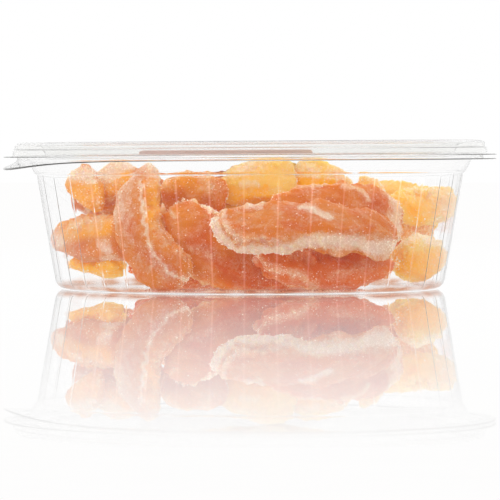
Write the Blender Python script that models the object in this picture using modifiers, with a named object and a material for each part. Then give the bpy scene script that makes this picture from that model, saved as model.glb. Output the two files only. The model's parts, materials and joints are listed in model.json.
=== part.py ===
"""Dried melon slices in a round, ribbed, clear tub with a press-fit lid.

Metres, +Z up.  The tub stands on z = 0 with its centre on the Z axis, and its
front faces -Y.  The pack is shut: lid, label and slices only rest in or on
the tub.
"""

from dataclasses import dataclass
from math import cos, pi, radians, sin

import bpy
import numpy as np
from mathutils import Vector
from mathutils.bvhtree import BVHTree

MM = 0.001

# ---- Driving dimensions, millimetres ------------------------------------------
SHEET = 0.5            # wall of the formed tub and lid
GAP = 0.35             # clearance between touching pieces

BASE_R = 59.3          # flat of the tub's bottom
WALL_FOOT_R = 63.4     # ribbed wall just above the bottom fillet
WALL_FOOT_Z = 3.3
WALL_TOP_R = 69.2
WALL_TOP_Z = 37.1
COLLAR_R = 69.9        # smooth collar above the ribs
COLLAR_TOP_R = 71.9
COLLAR_TOP_Z = 41.2
BEAD_IN_R = 72.6       # raised rim bead that the lid presses over
BEAD_OUT_R = 75.3
BEAD_Z = 45.8
FLANGE_R = 80.0
TUB_FLANGE_Z = 41.5
LID_FLANGE_Z = 43.2
LID_WALL_R = 77.0
LID_TOP_Z = 47.7
PANEL_R = 66.0         # sunken middle of the lid
PANEL_Z = 43.5
PANEL_SAG = 0.25

RIBS = 40
RIB_HEIGHT = 0.45
RIB_PHASE = radians(-1.6)
TUB_COLUMNS = 2 * RIBS
LID_COLUMNS = 40
RIM_LEAN = 0.0060      # the rim stands a little higher at +X
TAB_AZIMUTH = radians(192.0)
TAB_SPREAD = radians(26.0)
TAB_DROP = 2.7         # the lift tab is the flange's edge, bent down

LABEL_LENGTH = 56.0
LABEL_DEPTH = 36.0
LABEL_CENTRE_X = -7.8
LABEL_THICKNESS = 0.25

RINGS = 8              # cross-sections along a slice
SIDES = 8              # corners of a cross-section
SETTLE_STEP = 0.5
SETTLE_ROUNDS = 120

BACKWARD = (0.0, 1.0, 0.0)
FORWARD = (0.0, -1.0, 0.0)
UPWARD = (0.0, 0.0, 1.0)

ORANGE = (0.76, 0.25, 0.06)
PALE_ORANGE = (0.82, 0.38, 0.12)
YELLOW = (0.88, 0.47, 0.08)
DEEP_ORANGE = (0.66, 0.15, 0.04)


@dataclass(frozen=True)
class Slice:
    """One melon slice, in millimetres: its middle line, section and facing."""

    name: str
    path: tuple
    width: float
    thickness: float
    facing: tuple      # azimuth and elevation, degrees, of the broad side
    away: tuple        # the way it yields to slices laid before it
    colour: tuple
    blunt: float = 3.0
    wedge: float = 0.25
    taper: float = 0.0   # growth of the width from the first end to the last


FRONT_SLICES = (
    Slice("slice_hero", ((-11.5, -58, 22.7), (-1.6, -57, 20.5), (10.9, -56, 21.1),
                         (25, -53, 21.1), (37.7, -48, 19.4), (47, -42, 17.1)),
          16.5, 8.5, (-90, 46), BACKWARD, PALE_ORANGE, blunt=4.5),
    Slice("slice_crescent", ((-32.6, -36, 38.8), (-34.1, -41, 32.2), (-34.6, -45, 24.4),
                             (-32.6, -48, 16.6), (-27.2, -51, 9.8), (-18.4, -54, 5.4)),
          17, 9, (-146, 5), BACKWARD, PALE_ORANGE, blunt=3.6),
    Slice("slice_low_right", ((2.5, -49, 12.2), (14.1, -49, 9.1), (28.3, -45, 8.3),
                              (44.9, -36, 9.8)),
          13.5, 8, (-85, 15), BACKWARD, DEEP_ORANGE),
    Slice("slice_upper_right", ((6.9, -46, 24.1), (17.3, -46, 25.5), (28.4, -43, 26.1),
                                (39.5, -38, 25), (47, -31, 20.6)),
          17, 8, (-80, 18), BACKWARD, ORANGE, blunt=4.5),
    Slice("slice_broad", ((-21.6, -40, 27.8), (-18.3, -44, 19.7), (-11, -46, 12.4),
                          (0, -44, 9.4), (15.8, -42, 8)),
          20, 8, (-95, 5), BACKWARD, ORANGE, blunt=4.0),
    Slice("slice_low_left", ((-38, -34, 7.5), (-28.4, -40, 5.8), (-17.3, -42, 5.4),
                             (-4.7, -42, 5.4)),
          9.5, 8, (-105, 30), BACKWARD, DEEP_ORANGE),
    Slice("slice_left_point", ((-62.6, -8, 16.4), (-54.4, -20, 17.3), (-46, -30, 17.5),
                               (-38.6, -36, 17.7)),
          14, 8, (-135, 10), BACKWARD, PALE_ORANGE, blunt=2.4, taper=0.5),
    Slice("slice_left_low", ((-54.8, -12, 9.4), (-48.1, -20, 9), (-40.8, -27, 7.9)),
          8, 8, (-130, 15), BACKWARD, YELLOW),
    Slice("slice_left_top", ((-55.2, -22, 37.4), (-51, -27, 32.1), (-48, -31, 26.7)),
          9.5, 7.5, (-120, 10), BACKWARD, PALE_ORANGE, blunt=4.0, taper=-0.7),
    Slice("slice_left_fold", ((-50.5, -22, 29.5), (-44, -26, 34), (-35.7, -27, 38.2)),
          11.5, 8, (-110, 20), BACKWARD, PALE_ORANGE),
    Slice("slice_back_orange", ((-28.1, -24, 29.8), (-18.5, -26, 30.6), (-7.7, -26, 29.5)),
          13.5, 8, (-95, 5), BACKWARD, ORANGE, blunt=4.5),
    Slice("slice_top_left", ((-9.6, -24, 31), (-1.6, -26, 34), (7, -26, 35.4),
                             (15.3, -25, 35)),
          13.5, 8, (-90, 10), BACKWARD, YELLOW, blunt=3.5, taper=0.2),
    Slice("slice_top_right", ((12.8, -18, 34.6), (20.9, -18, 35), (31.5, -16, 30.7)),
          13, 8, (-90, 10), BACKWARD, YELLOW),
    Slice("slice_right_bump", ((37.4, -24, 35.9), (38.5, -28, 28.9), (40.7, -30, 21)),
          10, 7.5, (-75, 5), BACKWARD, YELLOW),
    Slice("slice_right_low", ((47.6, -26, 9.5), (54.5, -18, 10.2), (61, -7, 12.4)),
          12.5, 8, (-55, 10), BACKWARD, YELLOW, blunt=3.5),
    Slice("slice_right_top", ((44.5, -14, 26.5), (52.3, -10, 26.4), (60.2, -5, 27.7),
                              (64.6, -2, 30.2)),
          12.5, 8, (-65, 8), BACKWARD, YELLOW, blunt=3.5),
    Slice("slice_right_mid", ((45.4, -20, 19.6), (52, -16, 18.8), (58, -10, 17.4)),
          7, 7, (-60, 10), BACKWARD, ORANGE),
)

REAR_SLICES = (
    Slice("slice_rear_left", ((-55, 12, 15), (-47, 28, 17), (-33, 41, 17), (-16, 49, 15)),
          17, 9, (125, 25), FORWARD, PALE_ORANGE),
    Slice("slice_rear_right", ((6, 52, 9), (23, 48, 12), (39, 38, 16), (51, 24, 20)),
          17, 9, (65, 20), FORWARD, ORANGE, blunt=3.5),
    Slice("slice_rear_top", ((-22, 48, 27), (-5, 51, 29), (12, 51, 28), (28, 45, 27)),
          16, 8.5, (90, 35), FORWARD, YELLOW),
    Slice("slice_rear_low", ((-34, 36, 6), (-18, 42, 6), (2, 43, 5.6), (22, 37, 6)),
          13, 8.5, (95, 45), FORWARD, DEEP_ORANGE),
    Slice("slice_rear_crescent", ((-28, 42, 33), (-41, 34, 30), (-50, 24, 29),
                                  (-54, 13, 29)),
          13, 8, (130, 25), FORWARD, PALE_ORANGE),
    Slice("slice_rear_side", ((36, 36, 27), (47, 27, 27), (55, 14, 25), (60, 4, 21)),
          14, 8, (40, 20), FORWARD, YELLOW),
    Slice("slice_rear_middle", ((-34, 30, 17), (-16, 36, 19), (4, 38, 19), (26, 33, 18)),
          15, 8.5, (92, 50), FORWARD, ORANGE),
)

CORE_SLICES = (
    Slice("slice_core_low", ((-36, 8, 7), (-14, 12, 6.5), (12, 12, 6.5), (38, 6, 8)),
          24, 9, (90, 80), UPWARD, DEEP_ORANGE, blunt=3.5),
    Slice("slice_near_low", ((-36, -14, 6.5), (-16, -19, 6), (6, -19, 6), (34, -14, 7)),
          21, 9, (-90, 82), UPWARD, DEEP_ORANGE, blunt=3.5),
    Slice("slice_core_mid", ((-40, 12, 17), (-12, 8, 17), (14, 8, 18), (38, 12, 17)),
          22, 9, (80, 78), UPWARD, ORANGE, blunt=3.5),
    Slice("slice_near_mid", ((-30, -15, 16.5), (-10, -19, 16.5), (12, -19, 17),
                             (36, -13, 16.5)),
          21, 9, (-95, 80), UPWARD, ORANGE, blunt=3.5),
    Slice("slice_right_deep", ((46, 21, 9), (53, 11, 9), (57, 1, 9.5)),
          10, 8, (25, 20), UPWARD, YELLOW, blunt=3.0),
    Slice("slice_left_deep", ((-58, 6, 14), (-52, -4, 11.5), (-44, -14, 10)),
          13, 8, (-150, 50), UPWARD, ORANGE, blunt=2.6),
    Slice("slice_near_top", ((-24, -5, 26), (-6, -3, 26), (16, -2, 26.5), (34, -2, 26)),
          13, 8, (-90, 75), BACKWARD, YELLOW, blunt=3.0),
    Slice("slice_core_top", ((-20, 30, 30.5), (-4, 33, 31), (14, 33, 31), (31, 28, 30.5)),
          11, 8, (90, 70), FORWARD, YELLOW, blunt=3.5),
    Slice("slice_left_inner", ((-46, -6, 29), (-43, 4, 29), (-36, 14, 30)),
          12, 7.5, (150, 84), UPWARD, PALE_ORANGE),
    Slice("slice_top_rear", ((-20, 36, 31), (-4, 32, 32), (14, 32, 32), (30, 27, 30)),
          15, 7.5, (90, 70), FORWARD, PALE_ORANGE, blunt=3.2),
    Slice("slice_crown", ((-10, 17, 34), (8, 19, 35), (26, 17, 34)),
          14, 7.5, (90, 75), UPWARD, YELLOW, blunt=3.5),
    Slice("slice_right_inner", ((38, 6, 25), (48, -2, 26), (56, -8, 24)),
          12, 7.5, (20, 60), BACKWARD, ORANGE, blunt=3.0),
)


def clear_scene():
    """Removes every object that the scene starts with."""
    for old in list(bpy.data.objects):
        bpy.data.objects.remove(old, do_unlink=True)


def new_collection(name):
    """Returns a new collection linked to the scene."""
    made = bpy.data.collections.new(name)
    bpy.context.scene.collection.children.link(made)
    return made


def new_material(name, colour, roughness, alpha=1.0):
    """Returns a plain Principled material."""
    made = bpy.data.materials.new(name)
    made.use_nodes = True
    shader = made.node_tree.nodes["Principled BSDF"]
    shader.inputs["Base Color"].default_value = (*colour, 1.0)
    shader.inputs["Roughness"].default_value = roughness
    shader.inputs["Metallic"].default_value = 0.0
    shader.inputs["Alpha"].default_value = alpha
    made.diffuse_color = (*colour, alpha)
    return made


def add_object(name, mesh, collection, material):
    """Links a mesh as a named object with its own material."""
    made = bpy.data.objects.new(name, mesh)
    collection.objects.link(made)
    mesh.materials.clear()
    mesh.materials.append(material)
    return made


# ---- Formed sheets: tub, lid and label -------------------------------------------
def turned_mesh(name, profile, columns, collection):
    """Turns an open profile of (radius, height) round Z and returns the mesh."""
    outline = bpy.data.meshes.new(name + "_profile")
    points = [(r * MM, 0.0, z * MM) for r, z in profile]
    outline.from_pydata(points, [(i, i + 1) for i in range(len(points) - 1)], [])
    guide = bpy.data.objects.new(name + "_profile", outline)
    collection.objects.link(guide)
    screw = guide.modifiers.new("Turn", "SCREW")
    screw.steps = columns
    screw.render_steps = columns
    screw.use_merge_vertices = True
    screw.merge_threshold = 0.0001
    depsgraph = bpy.context.evaluated_depsgraph_get()
    mesh = bpy.data.meshes.new_from_object(guide.evaluated_get(depsgraph))
    mesh.name = name
    bpy.data.objects.remove(guide, do_unlink=True)
    return mesh


def reshape(mesh, rule):
    """Moves all vertices by a rule on an array of points in millimetres."""
    points = np.empty(len(mesh.vertices) * 3)
    mesh.vertices.foreach_get("co", points)
    points = points.reshape(-1, 3) / MM
    mesh.vertices.foreach_set("co", (rule(points) * MM).ravel())
    mesh.update()


def lean_rim(points):
    """Raises the +X side in proportion to height, and leaves the base flat."""
    leaned = points.copy()
    leaned[:, 2] += RIM_LEAN * points[:, 0] * points[:, 2] / COLLAR_TOP_Z
    return leaned


def shape_tub(points):
    """Raises the ribs, bends the lift tab down and leans the rim."""
    radius = np.hypot(points[:, 0], points[:, 1])
    angle = np.arctan2(points[:, 1], points[:, 0])
    on_wall = (points[:, 2] > WALL_FOOT_Z - 2.0) & (points[:, 2] < WALL_TOP_Z - 0.6)
    on_wall &= radius > BASE_R + 1.0
    crest = 0.5 + 0.5 * np.cos(RIBS * angle)
    scale = 1.0 + on_wall * RIB_HEIGHT * crest / np.maximum(radius, 1.0)
    shaped = points.copy()
    shaped[:, :2] *= scale[:, None]
    turned = angle + RIB_PHASE + 2.0 * pi
    off_tab = (turned - TAB_AZIMUTH + pi) % (2.0 * pi) - pi
    hang = np.clip((radius - BEAD_OUT_R) / (FLANGE_R - BEAD_OUT_R), 0.0, 1.0)
    hang[points[:, 2] > TUB_FLANGE_Z + 1.0] = 0.0
    shaped[:, 2] -= TAB_DROP * hang * np.exp(-(off_tab / TAB_SPREAD) ** 2)
    spin = np.array([[cos(RIB_PHASE), -sin(RIB_PHASE)], [sin(RIB_PHASE), cos(RIB_PHASE)]])
    shaped[:, :2] = shaped[:, :2] @ spin.T
    return lean_rim(shaped)


def formed_sheet(name, profile, columns, rule, collection, material):
    """A thin formed part: a turned outer side that Solidify thickens inward."""
    mesh = turned_mesh(name, profile, columns, collection)
    reshape(mesh, rule)
    made = add_object(name, mesh, collection, material)
    wall = made.modifiers.new("Sheet", "SOLIDIFY")
    wall.thickness = SHEET * MM
    wall.offset = -1.0
    wall.use_even_offset = True
    return made


def build_tub(collection):
    """The ribbed tub, from the flange's edge down to the middle of its base."""
    profile = (
        (FLANGE_R, TUB_FLANGE_Z),
        (BEAD_OUT_R + 0.3, TUB_FLANGE_Z),
        (BEAD_OUT_R, BEAD_Z),
        (BEAD_IN_R, BEAD_Z),
        (COLLAR_TOP_R, COLLAR_TOP_Z),
        (COLLAR_R, WALL_TOP_Z + 0.4),
        (WALL_TOP_R, WALL_TOP_Z),
        (WALL_TOP_R - 0.3, WALL_TOP_Z - 1.6),
        (WALL_FOOT_R, WALL_FOOT_Z),
        (WALL_FOOT_R - 1.2, 1.0),
        (BASE_R, 0.0),
        (0.0, 0.0),
    )
    plastic = new_material("clear_tub_plastic", (0.93, 0.94, 0.94), 0.08, 0.3)
    return formed_sheet("tub", profile, TUB_COLUMNS, shape_tub, collection, plastic)


def build_lid(collection):
    """The lid: a sunken, slightly sagging panel, a stacking ring and a flange."""
    half = PANEL_R / 2.0
    profile = (
        (0.0, PANEL_Z - PANEL_SAG),
        (half, PANEL_Z - PANEL_SAG * 0.75),
        (PANEL_R, PANEL_Z),
        (PANEL_R + 2.0, LID_TOP_Z - 0.6),
        (PANEL_R + 4.5, LID_TOP_Z),
        (LID_WALL_R - 2.0, LID_TOP_Z),
        (LID_WALL_R - 0.4, LID_TOP_Z - 0.8),
        (LID_WALL_R, LID_FLANGE_Z),
        (FLANGE_R, LID_FLANGE_Z),
    )
    plastic = new_material("clear_lid_plastic", (0.95, 0.95, 0.95), 0.06, 0.3)
    return formed_sheet("lid", profile, LID_COLUMNS, lean_rim, collection, plastic)


def build_label(collection):
    """The plain label on the sunken panel: a thin plate that follows its sag."""
    bpy.ops.mesh.primitive_grid_add(x_subdivisions=5, y_subdivisions=3, size=1.0)
    label = bpy.context.active_object
    label.name = "label"
    for old in list(label.users_collection):
        old.objects.unlink(label)
    collection.objects.link(label)
    paper = new_material("plain_label_paper", (0.62, 0.55, 0.56), 0.55)
    label.data.materials.append(paper)

    def lay(points):
        laid = points * MM * (LABEL_LENGTH, LABEL_DEPTH, 0.0)
        laid[:, 0] += LABEL_CENTRE_X
        radius = np.hypot(laid[:, 0], laid[:, 1])
        rise = PANEL_SAG * np.maximum(radius / PANEL_R, 0.0) ** 2
        laid[:, 2] = PANEL_Z - PANEL_SAG + rise + GAP + 0.15
        return lean_rim(laid)

    reshape(label.data, lay)
    plate = label.modifiers.new("Plate", "SOLIDIFY")
    plate.thickness = LABEL_THICKNESS * MM
    plate.offset = 1.0
    return label


# ---- Melon slices -----------------------------------------------------------------
def spline(path, spots):
    """A Catmull-Rom curve through the path's points, at places 0 to 1 along it."""
    points = np.array(path, dtype=float)
    ends = (2.0 * points[0] - points[1], 2.0 * points[-1] - points[-2])
    points = np.vstack((ends[0], points, ends[1]))
    legs = np.linalg.norm(np.diff(points[1:-1], axis=0), axis=1)
    along = np.concatenate(([0.0], np.cumsum(legs))) / legs.sum()
    leg = np.clip(np.searchsorted(along, spots, side="right") - 1, 0, len(legs) - 1)
    t = ((spots - along[leg]) / (along[leg + 1] - along[leg]))[:, None]
    a, b, c, d = (points[leg + k] for k in range(4))
    return 0.5 * (2.0 * b + (c - a) * t + (2.0 * a - 5.0 * b + 4.0 * c - d) * t ** 2
                  + (3.0 * b - a - 3.0 * c + d) * t ** 3)


def unit(rows):
    """Rows of vectors, each brought to length 1."""
    return rows / np.linalg.norm(rows, axis=-1, keepdims=True)


def facing_vector(azimuth, elevation):
    """The direction of a broad side, from its angles in degrees."""
    az, el = radians(azimuth), radians(elevation)
    return np.array((cos(az) * cos(el), sin(az) * cos(el), sin(el)))


def slice_rings(piece):
    """Cross-sections of a slice as an array of rings x sides x 3, in millimetres.

    Each section is a rounded oblong, thicker at one edge, that shrinks to the
    two ends as a superellipse, so that a slice is a blunt crescent.
    """
    spots = 0.5 - 0.5 * np.cos(np.linspace(0.0, pi, RINGS + 2))
    middle = spline(piece.path, spots)
    tangent = unit(np.gradient(middle, axis=0))
    broad = facing_vector(*piece.facing)
    across = unit(np.cross(tangent, broad))
    normal = np.cross(across, tangent)
    reach = np.abs(2.0 * spots - 1.0)
    growth = 1.0 + piece.taper * (spots - 0.5)
    half_width = 0.5 * piece.width * growth * (1.0 - reach ** piece.blunt) ** 0.5
    half_depth = 0.5 * piece.thickness * (1.0 - reach ** (2.0 * piece.blunt)) ** 0.5
    corner = np.linspace(0.0, 2.0 * pi, SIDES, endpoint=False) + pi / SIDES
    wide = np.sign(np.cos(corner)) * np.abs(np.cos(corner)) ** 0.6
    deep = np.sign(np.sin(corner)) * np.abs(np.sin(corner)) ** 0.6
    deep = deep * (1.0 + piece.wedge * wide)
    rings = (middle[:, None, :]
             + across[:, None, :] * (half_width[:, None] * wide)[:, :, None]
             + normal[:, None, :] * (half_depth[:, None] * deep)[:, :, None])
    return rings


def wall_radius(height):
    """Inner radius of the tub at a height, less the gap, in millimetres."""
    slope = (WALL_TOP_R - WALL_FOOT_R) / (WALL_TOP_Z - WALL_FOOT_Z)
    wall = WALL_FOOT_R + slope * (height - WALL_FOOT_Z)
    corner = 4.5
    low = np.clip((corner + SHEET - height) / corner, 0.0, 1.0)
    fillet = corner * (1.0 - np.sqrt(1.0 - low ** 2))
    return wall - fillet - SHEET - GAP - 0.25


def keep_inside(rings):
    """Presses points that pass the tub's base, wall or lid back inside."""
    held = rings.copy()
    ceiling = PANEL_Z - PANEL_SAG - SHEET - GAP - 0.5
    held[..., 2] = np.clip(held[..., 2], SHEET + GAP, ceiling)
    radius = np.hypot(held[..., 0], held[..., 1])
    limit = wall_radius(held[..., 2])
    held[..., :2] *= np.minimum(1.0, limit / np.maximum(radius, 1.0))[..., None]
    return held


def slice_faces():
    """Faces of a closed slice: bands between rings, and a fan at each end."""
    faces = []
    for ring in range(RINGS - 1):
        for side in range(SIDES):
            here = ring * SIDES + side
            beside = ring * SIDES + (side + 1) % SIDES
            faces.append((here, here + SIDES, beside + SIDES, beside))
    first, last = RINGS * SIDES, RINGS * SIDES + 1
    top = (RINGS - 1) * SIDES
    for side in range(SIDES):
        beside = (side + 1) % SIDES
        faces.append((first, side, beside))
        faces.append((last, top + beside, top + side))
    return faces


def slice_points(rings):
    """Vertices of the inner rings, then the two end points."""
    return np.vstack((rings[1:-1].reshape(-1, 3), rings[0].mean(0), rings[-1].mean(0)))


def tree_of(points):
    """A search tree over one slice's faces."""
    return BVHTree.FromPolygons([Vector(p) for p in points], slice_faces())


def depth_inside(tree, point):
    """How far a point would have to move to be GAP clear of a slice."""
    near, normal, _, distance = tree.find_nearest(Vector(point))
    outside = (Vector(point) - near).dot(normal) > 0.0
    return GAP - distance if outside else GAP + distance


def crowded_rings(points, laid):
    """Rings of a slice that touch a slice laid before it."""
    crowded = np.zeros(RINGS + 2, dtype=bool)
    ring_of = np.minimum(np.arange(len(points)) // SIDES, RINGS - 1) + 1
    ring_of[-2:] = (1, RINGS)
    own = tree_of(points)
    for other_points, other_tree in laid:
        low = np.maximum(points.min(0), other_points.min(0)) - 2.0 * GAP
        high = np.minimum(points.max(0), other_points.max(0)) + 2.0 * GAP
        if np.any(low > high):
            continue
        for index, point in enumerate(points):
            if depth_inside(other_tree, point) > 0.0:
                crowded[ring_of[index]] = True
        for point in other_points[np.all((other_points > low) & (other_points < high), 1)]:
            if depth_inside(own, point) > 0.0:
                nearest = np.argmin(np.linalg.norm(points - point, axis=1))
                crowded[ring_of[nearest]] = True
        for face, _ in own.overlap(other_tree):
            crowded[min(face // SIDES, RINGS - 1) + 1] = True
    return crowded


def settle(piece, laid):
    """Lets a slice yield, ring by ring, until it is clear of those laid before.

    Crowded rings and their neighbours move a step in the slice's own direction;
    the moves are then smoothed along the slice, so it bends rather than breaks.
    """
    rings = slice_rings(piece)
    away = np.array(piece.away)
    moved = np.zeros(RINGS + 2)
    for _ in range(SETTLE_ROUNDS):
        placed = keep_inside(rings + moved[:, None, None] * away)
        points = slice_points(placed)
        crowded = crowded_rings(points, laid)
        if not crowded.any():
            return points
        spread = crowded | np.roll(crowded, 1) | np.roll(crowded, -1)
        moved = moved + SETTLE_STEP * spread
        smooth = (np.roll(moved, 1) + 2.0 * moved + np.roll(moved, -1)) / 4.0
        moved[1:-1] = np.maximum(moved, smooth)[1:-1]
        moved[0] = moved[1]
        moved[-1] = moved[-2]
    print("still crowded:", piece.name)
    return points


def build_slices(collection):
    """All slices, laid from the front, from the back and then in the middle."""
    laid = []
    for piece in FRONT_SLICES + REAR_SLICES + CORE_SLICES:
        points = settle(piece, laid)
        laid.append((points, tree_of(points)))
        mesh = bpy.data.meshes.new(piece.name)
        mesh.from_pydata([tuple(p * MM) for p in points], [], slice_faces())
        flesh = new_material(piece.name + "_flesh", piece.colour, 0.45)
        add_object(piece.name, mesh, collection, flesh)
        mesh.shade_smooth()


def main():
    """Builds the whole pack."""
    clear_scene()
    pack = new_collection("dried_melon_tub")
    build_tub(pack)
    build_lid(pack)
    build_label(pack)
    build_slices(pack)


main()
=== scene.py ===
"""Looks for the tub of dried melon: clear formed plastic, sugared fruit and studio.

Sizes in the code are millimetres, meshes are metres, +Z is up and the front
faces -Y.  Each shape is a function of two parameters worked out on a grid.
"""

import json
import logging
import math
from dataclasses import dataclass, field
from enum import Enum

import bpy
import bmesh
import numpy as np
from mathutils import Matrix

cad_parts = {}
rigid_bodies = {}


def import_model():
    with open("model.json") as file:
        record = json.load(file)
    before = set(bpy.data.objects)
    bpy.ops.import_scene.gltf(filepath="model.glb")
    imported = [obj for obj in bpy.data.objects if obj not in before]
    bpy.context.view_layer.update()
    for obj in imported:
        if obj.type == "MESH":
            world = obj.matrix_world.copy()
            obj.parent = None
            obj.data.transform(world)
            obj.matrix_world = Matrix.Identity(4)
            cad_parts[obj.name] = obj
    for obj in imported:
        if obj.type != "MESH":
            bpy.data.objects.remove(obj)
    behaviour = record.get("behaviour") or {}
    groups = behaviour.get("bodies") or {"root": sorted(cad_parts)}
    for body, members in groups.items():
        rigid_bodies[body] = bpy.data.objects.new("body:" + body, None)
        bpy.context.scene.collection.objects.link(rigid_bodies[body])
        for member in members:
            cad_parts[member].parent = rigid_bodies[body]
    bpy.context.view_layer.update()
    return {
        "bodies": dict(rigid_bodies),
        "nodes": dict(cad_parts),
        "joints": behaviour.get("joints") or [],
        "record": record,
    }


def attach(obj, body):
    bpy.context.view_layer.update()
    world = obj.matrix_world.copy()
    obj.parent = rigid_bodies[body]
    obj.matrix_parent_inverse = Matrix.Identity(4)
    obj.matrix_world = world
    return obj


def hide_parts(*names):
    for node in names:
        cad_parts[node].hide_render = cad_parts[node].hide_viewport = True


MM = 0.001
Colour = tuple[float, float, float]
Triple = tuple[float, float, float]
Feed = float | Triple | bpy.types.NodeSocket
log = logging.getLogger("melon_tub")


# ---- Small tools ------------------------------------------------------------------
def paint(red: int, green: int, blue: int) -> Colour:
    """A display colour as the linear colour that shaders take.

    Small values are divided by 12.92; others are ((v + 0.055) / 1.055)^2.4.

    Args:
        red: red from 0 to 255.
        green: green from 0 to 255.
        blue: blue from 0 to 255.

    Returns:
        The linear red, green and blue.
    """
    parts = np.array((red, green, blue)) / 255.0
    linear = np.where(parts <= 0.04045, parts / 12.92, ((parts + 0.055) / 1.055) ** 2.4)
    return tuple(float(part) for part in linear)


def unit(rows: np.ndarray) -> np.ndarray:
    """Rows of vectors, each brought to length 1."""
    return rows / np.maximum(np.linalg.norm(rows, axis=-1, keepdims=True), 1e-9)


def ease(low: float, high: float, value: np.ndarray) -> np.ndarray:
    """A smooth step: 0 below low, 1 above high, 3t^2 - 2t^3 between."""
    t = np.clip((value - low) / (high - low), 0.0, 1.0)
    return t * t * (3.0 - 2.0 * t)


class Ripple:
    """A smooth random field: a sum of plane sine waves in random directions."""

    WAVES = 20
    TURNS = (0.6, 1.6)         # shortest and longest wave, as turns per size
    EVENNESS = 0.8             # brings the sum to about -1 to 1

    def __init__(self, seed: int) -> None:
        """Draws the directions and phases.

        Args:
            seed: the number that fixes this field.
        """
        dice = np.random.default_rng(seed)
        self.axes = unit(dice.normal(size=(self.WAVES, 3)))
        self.turns = dice.uniform(*self.TURNS, self.WAVES)
        self.phases = dice.uniform(0.0, 2.0 * math.pi, self.WAVES)

    def at(self, points: np.ndarray, size: float,
           stretch: Triple = (1.0, 1.0, 1.0)) -> np.ndarray:
        """The field at some points, about -1 to 1.

        Each wave is the sine of the distance along its axis over its own length.

        Args:
            points: any array whose last axis is x, y, z in millimetres.
            size: the typical width of a bump, in millimetres.
            stretch: how much longer the bumps are along each axis.

        Returns:
            An array of the points' shape without its last axis.
        """
        scaled = points / (size * np.array(stretch))
        waves = scaled @ (self.axes * self.turns[:, None] * math.pi).T + self.phases
        return np.sin(waves).sum(-1) / math.sqrt(self.WAVES * self.EVENNESS)


def placed(name: str, data: bpy.types.ID) -> bpy.types.Object:
    """A new object in the scene, at the origin."""
    made = bpy.data.objects.new(name, data)
    bpy.context.scene.collection.objects.link(made)
    return made


@dataclass
class GridSurface:
    """A surface given on a grid of rows and columns, whose columns join up.

    The ends may close on a point each; otherwise the rows join up as well.
    """

    name: str
    points: np.ndarray
    poles: np.ndarray | None = None
    smooth: bool = True

    def faces(self) -> np.ndarray:
        """Four corners for each face between neighbouring rows and columns.

        Returns:
            An integer array of faces x 4; a pole's faces repeat their last corner.
        """
        rows, columns = self.points.shape[:2]
        closed = self.poles is None
        row = np.arange(rows if closed else rows - 1)[:, None] * columns
        next_row = (row + columns) % (rows * columns)
        here = np.arange(columns)[None, :]
        beside = (here + 1) % columns
        bands = np.stack((row + here, row + beside, next_row + beside, next_row + here), -1)
        bands = bands.reshape(-1, 4)
        if closed:
            return bands
        first, last = rows * columns, rows * columns + 1
        ring = np.arange(columns)
        turn = (ring + 1) % columns
        top = (rows - 1) * columns
        start = np.stack((np.full(columns, first), turn, ring, ring), 1)
        finish = np.stack((np.full(columns, last), top + ring, top + turn, top + turn), 1)
        return np.vstack((bands, start, finish))

    def build(self, layers: dict[str, np.ndarray] | None = None) -> bpy.types.Object:
        """Makes the mesh and its object, with one float attribute for each layer.

        Args:
            layers: values per grid point, by attribute name.

        Returns:
            The new object, linked to the scene.
        """
        places = self.points.reshape(-1, 3)
        if self.poles is not None:
            places = np.vstack((places, self.poles))
        corners = self.faces()
        size = np.where(corners[:, 2] == corners[:, 3], 3, 4)
        flat = corners.ravel()[(np.arange(4)[None, :] < size[:, None]).ravel()]
        mesh = bpy.data.meshes.new(self.name)
        mesh.vertices.add(len(places))
        mesh.vertices.foreach_set("co", (places * MM).astype(np.float32).ravel())
        mesh.loops.add(len(flat))
        mesh.loops.foreach_set("vertex_index", flat.astype(np.int32))
        mesh.polygons.add(len(size))
        starts = np.concatenate(([0], np.cumsum(size)[:-1]))
        mesh.polygons.foreach_set("loop_start", starts.astype(np.int32))
        mesh.polygons.foreach_set("use_smooth", np.full(len(size), self.smooth))
        mesh.update(calc_edges=True)
        mesh.validate()
        for layer, values in (layers or {}).items():
            ends = (values[0].mean(), values[-1].mean()) if self.poles is not None else ()
            per_point = np.concatenate((values.ravel(), ends)).astype(np.float32)
            mesh.attributes.new(layer, "FLOAT", "POINT").data.foreach_set("value", per_point)
        return placed(self.name, mesh)


def grid_normals(points: np.ndarray) -> np.ndarray:
    """Outward normals of a grid whose columns join up.

    A normal is the cross product of the steps to the next column and next row.

    Args:
        points: rows x columns x 3.

    Returns:
        An array of the same shape, of unit vectors.
    """
    around = np.roll(points, -1, 1) - np.roll(points, 1, 1)
    along = np.gradient(points, axis=0)
    return unit(np.cross(around, along))


def cardinal_weights(places: np.ndarray, count: int, wrap: bool) -> np.ndarray:
    """Catmull-Rom weights that carry a few samples to many places between them.

    Args:
        places: positions in units of samples.
        count: how many samples there are.
        wrap: whether the last sample is followed by the first.

    Returns:
        An array of places x samples.
    """
    base = np.floor(places).astype(int)
    if not wrap:
        base = np.clip(base, 1, count - 3)
    t = places - base
    parts = (
        -0.5 * t + t ** 2 - 0.5 * t ** 3,
        1.0 - 2.5 * t ** 2 + 1.5 * t ** 3,
        0.5 * t + 2.0 * t ** 2 - 1.5 * t ** 3,
        -0.5 * t ** 2 + 0.5 * t ** 3,
    )
    weights = np.zeros((len(places), count))
    for offset, part in zip((-1, 0, 1, 2), parts):
        np.add.at(weights, (np.arange(len(places)), (base + offset) % count), part)
    return weights


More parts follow.
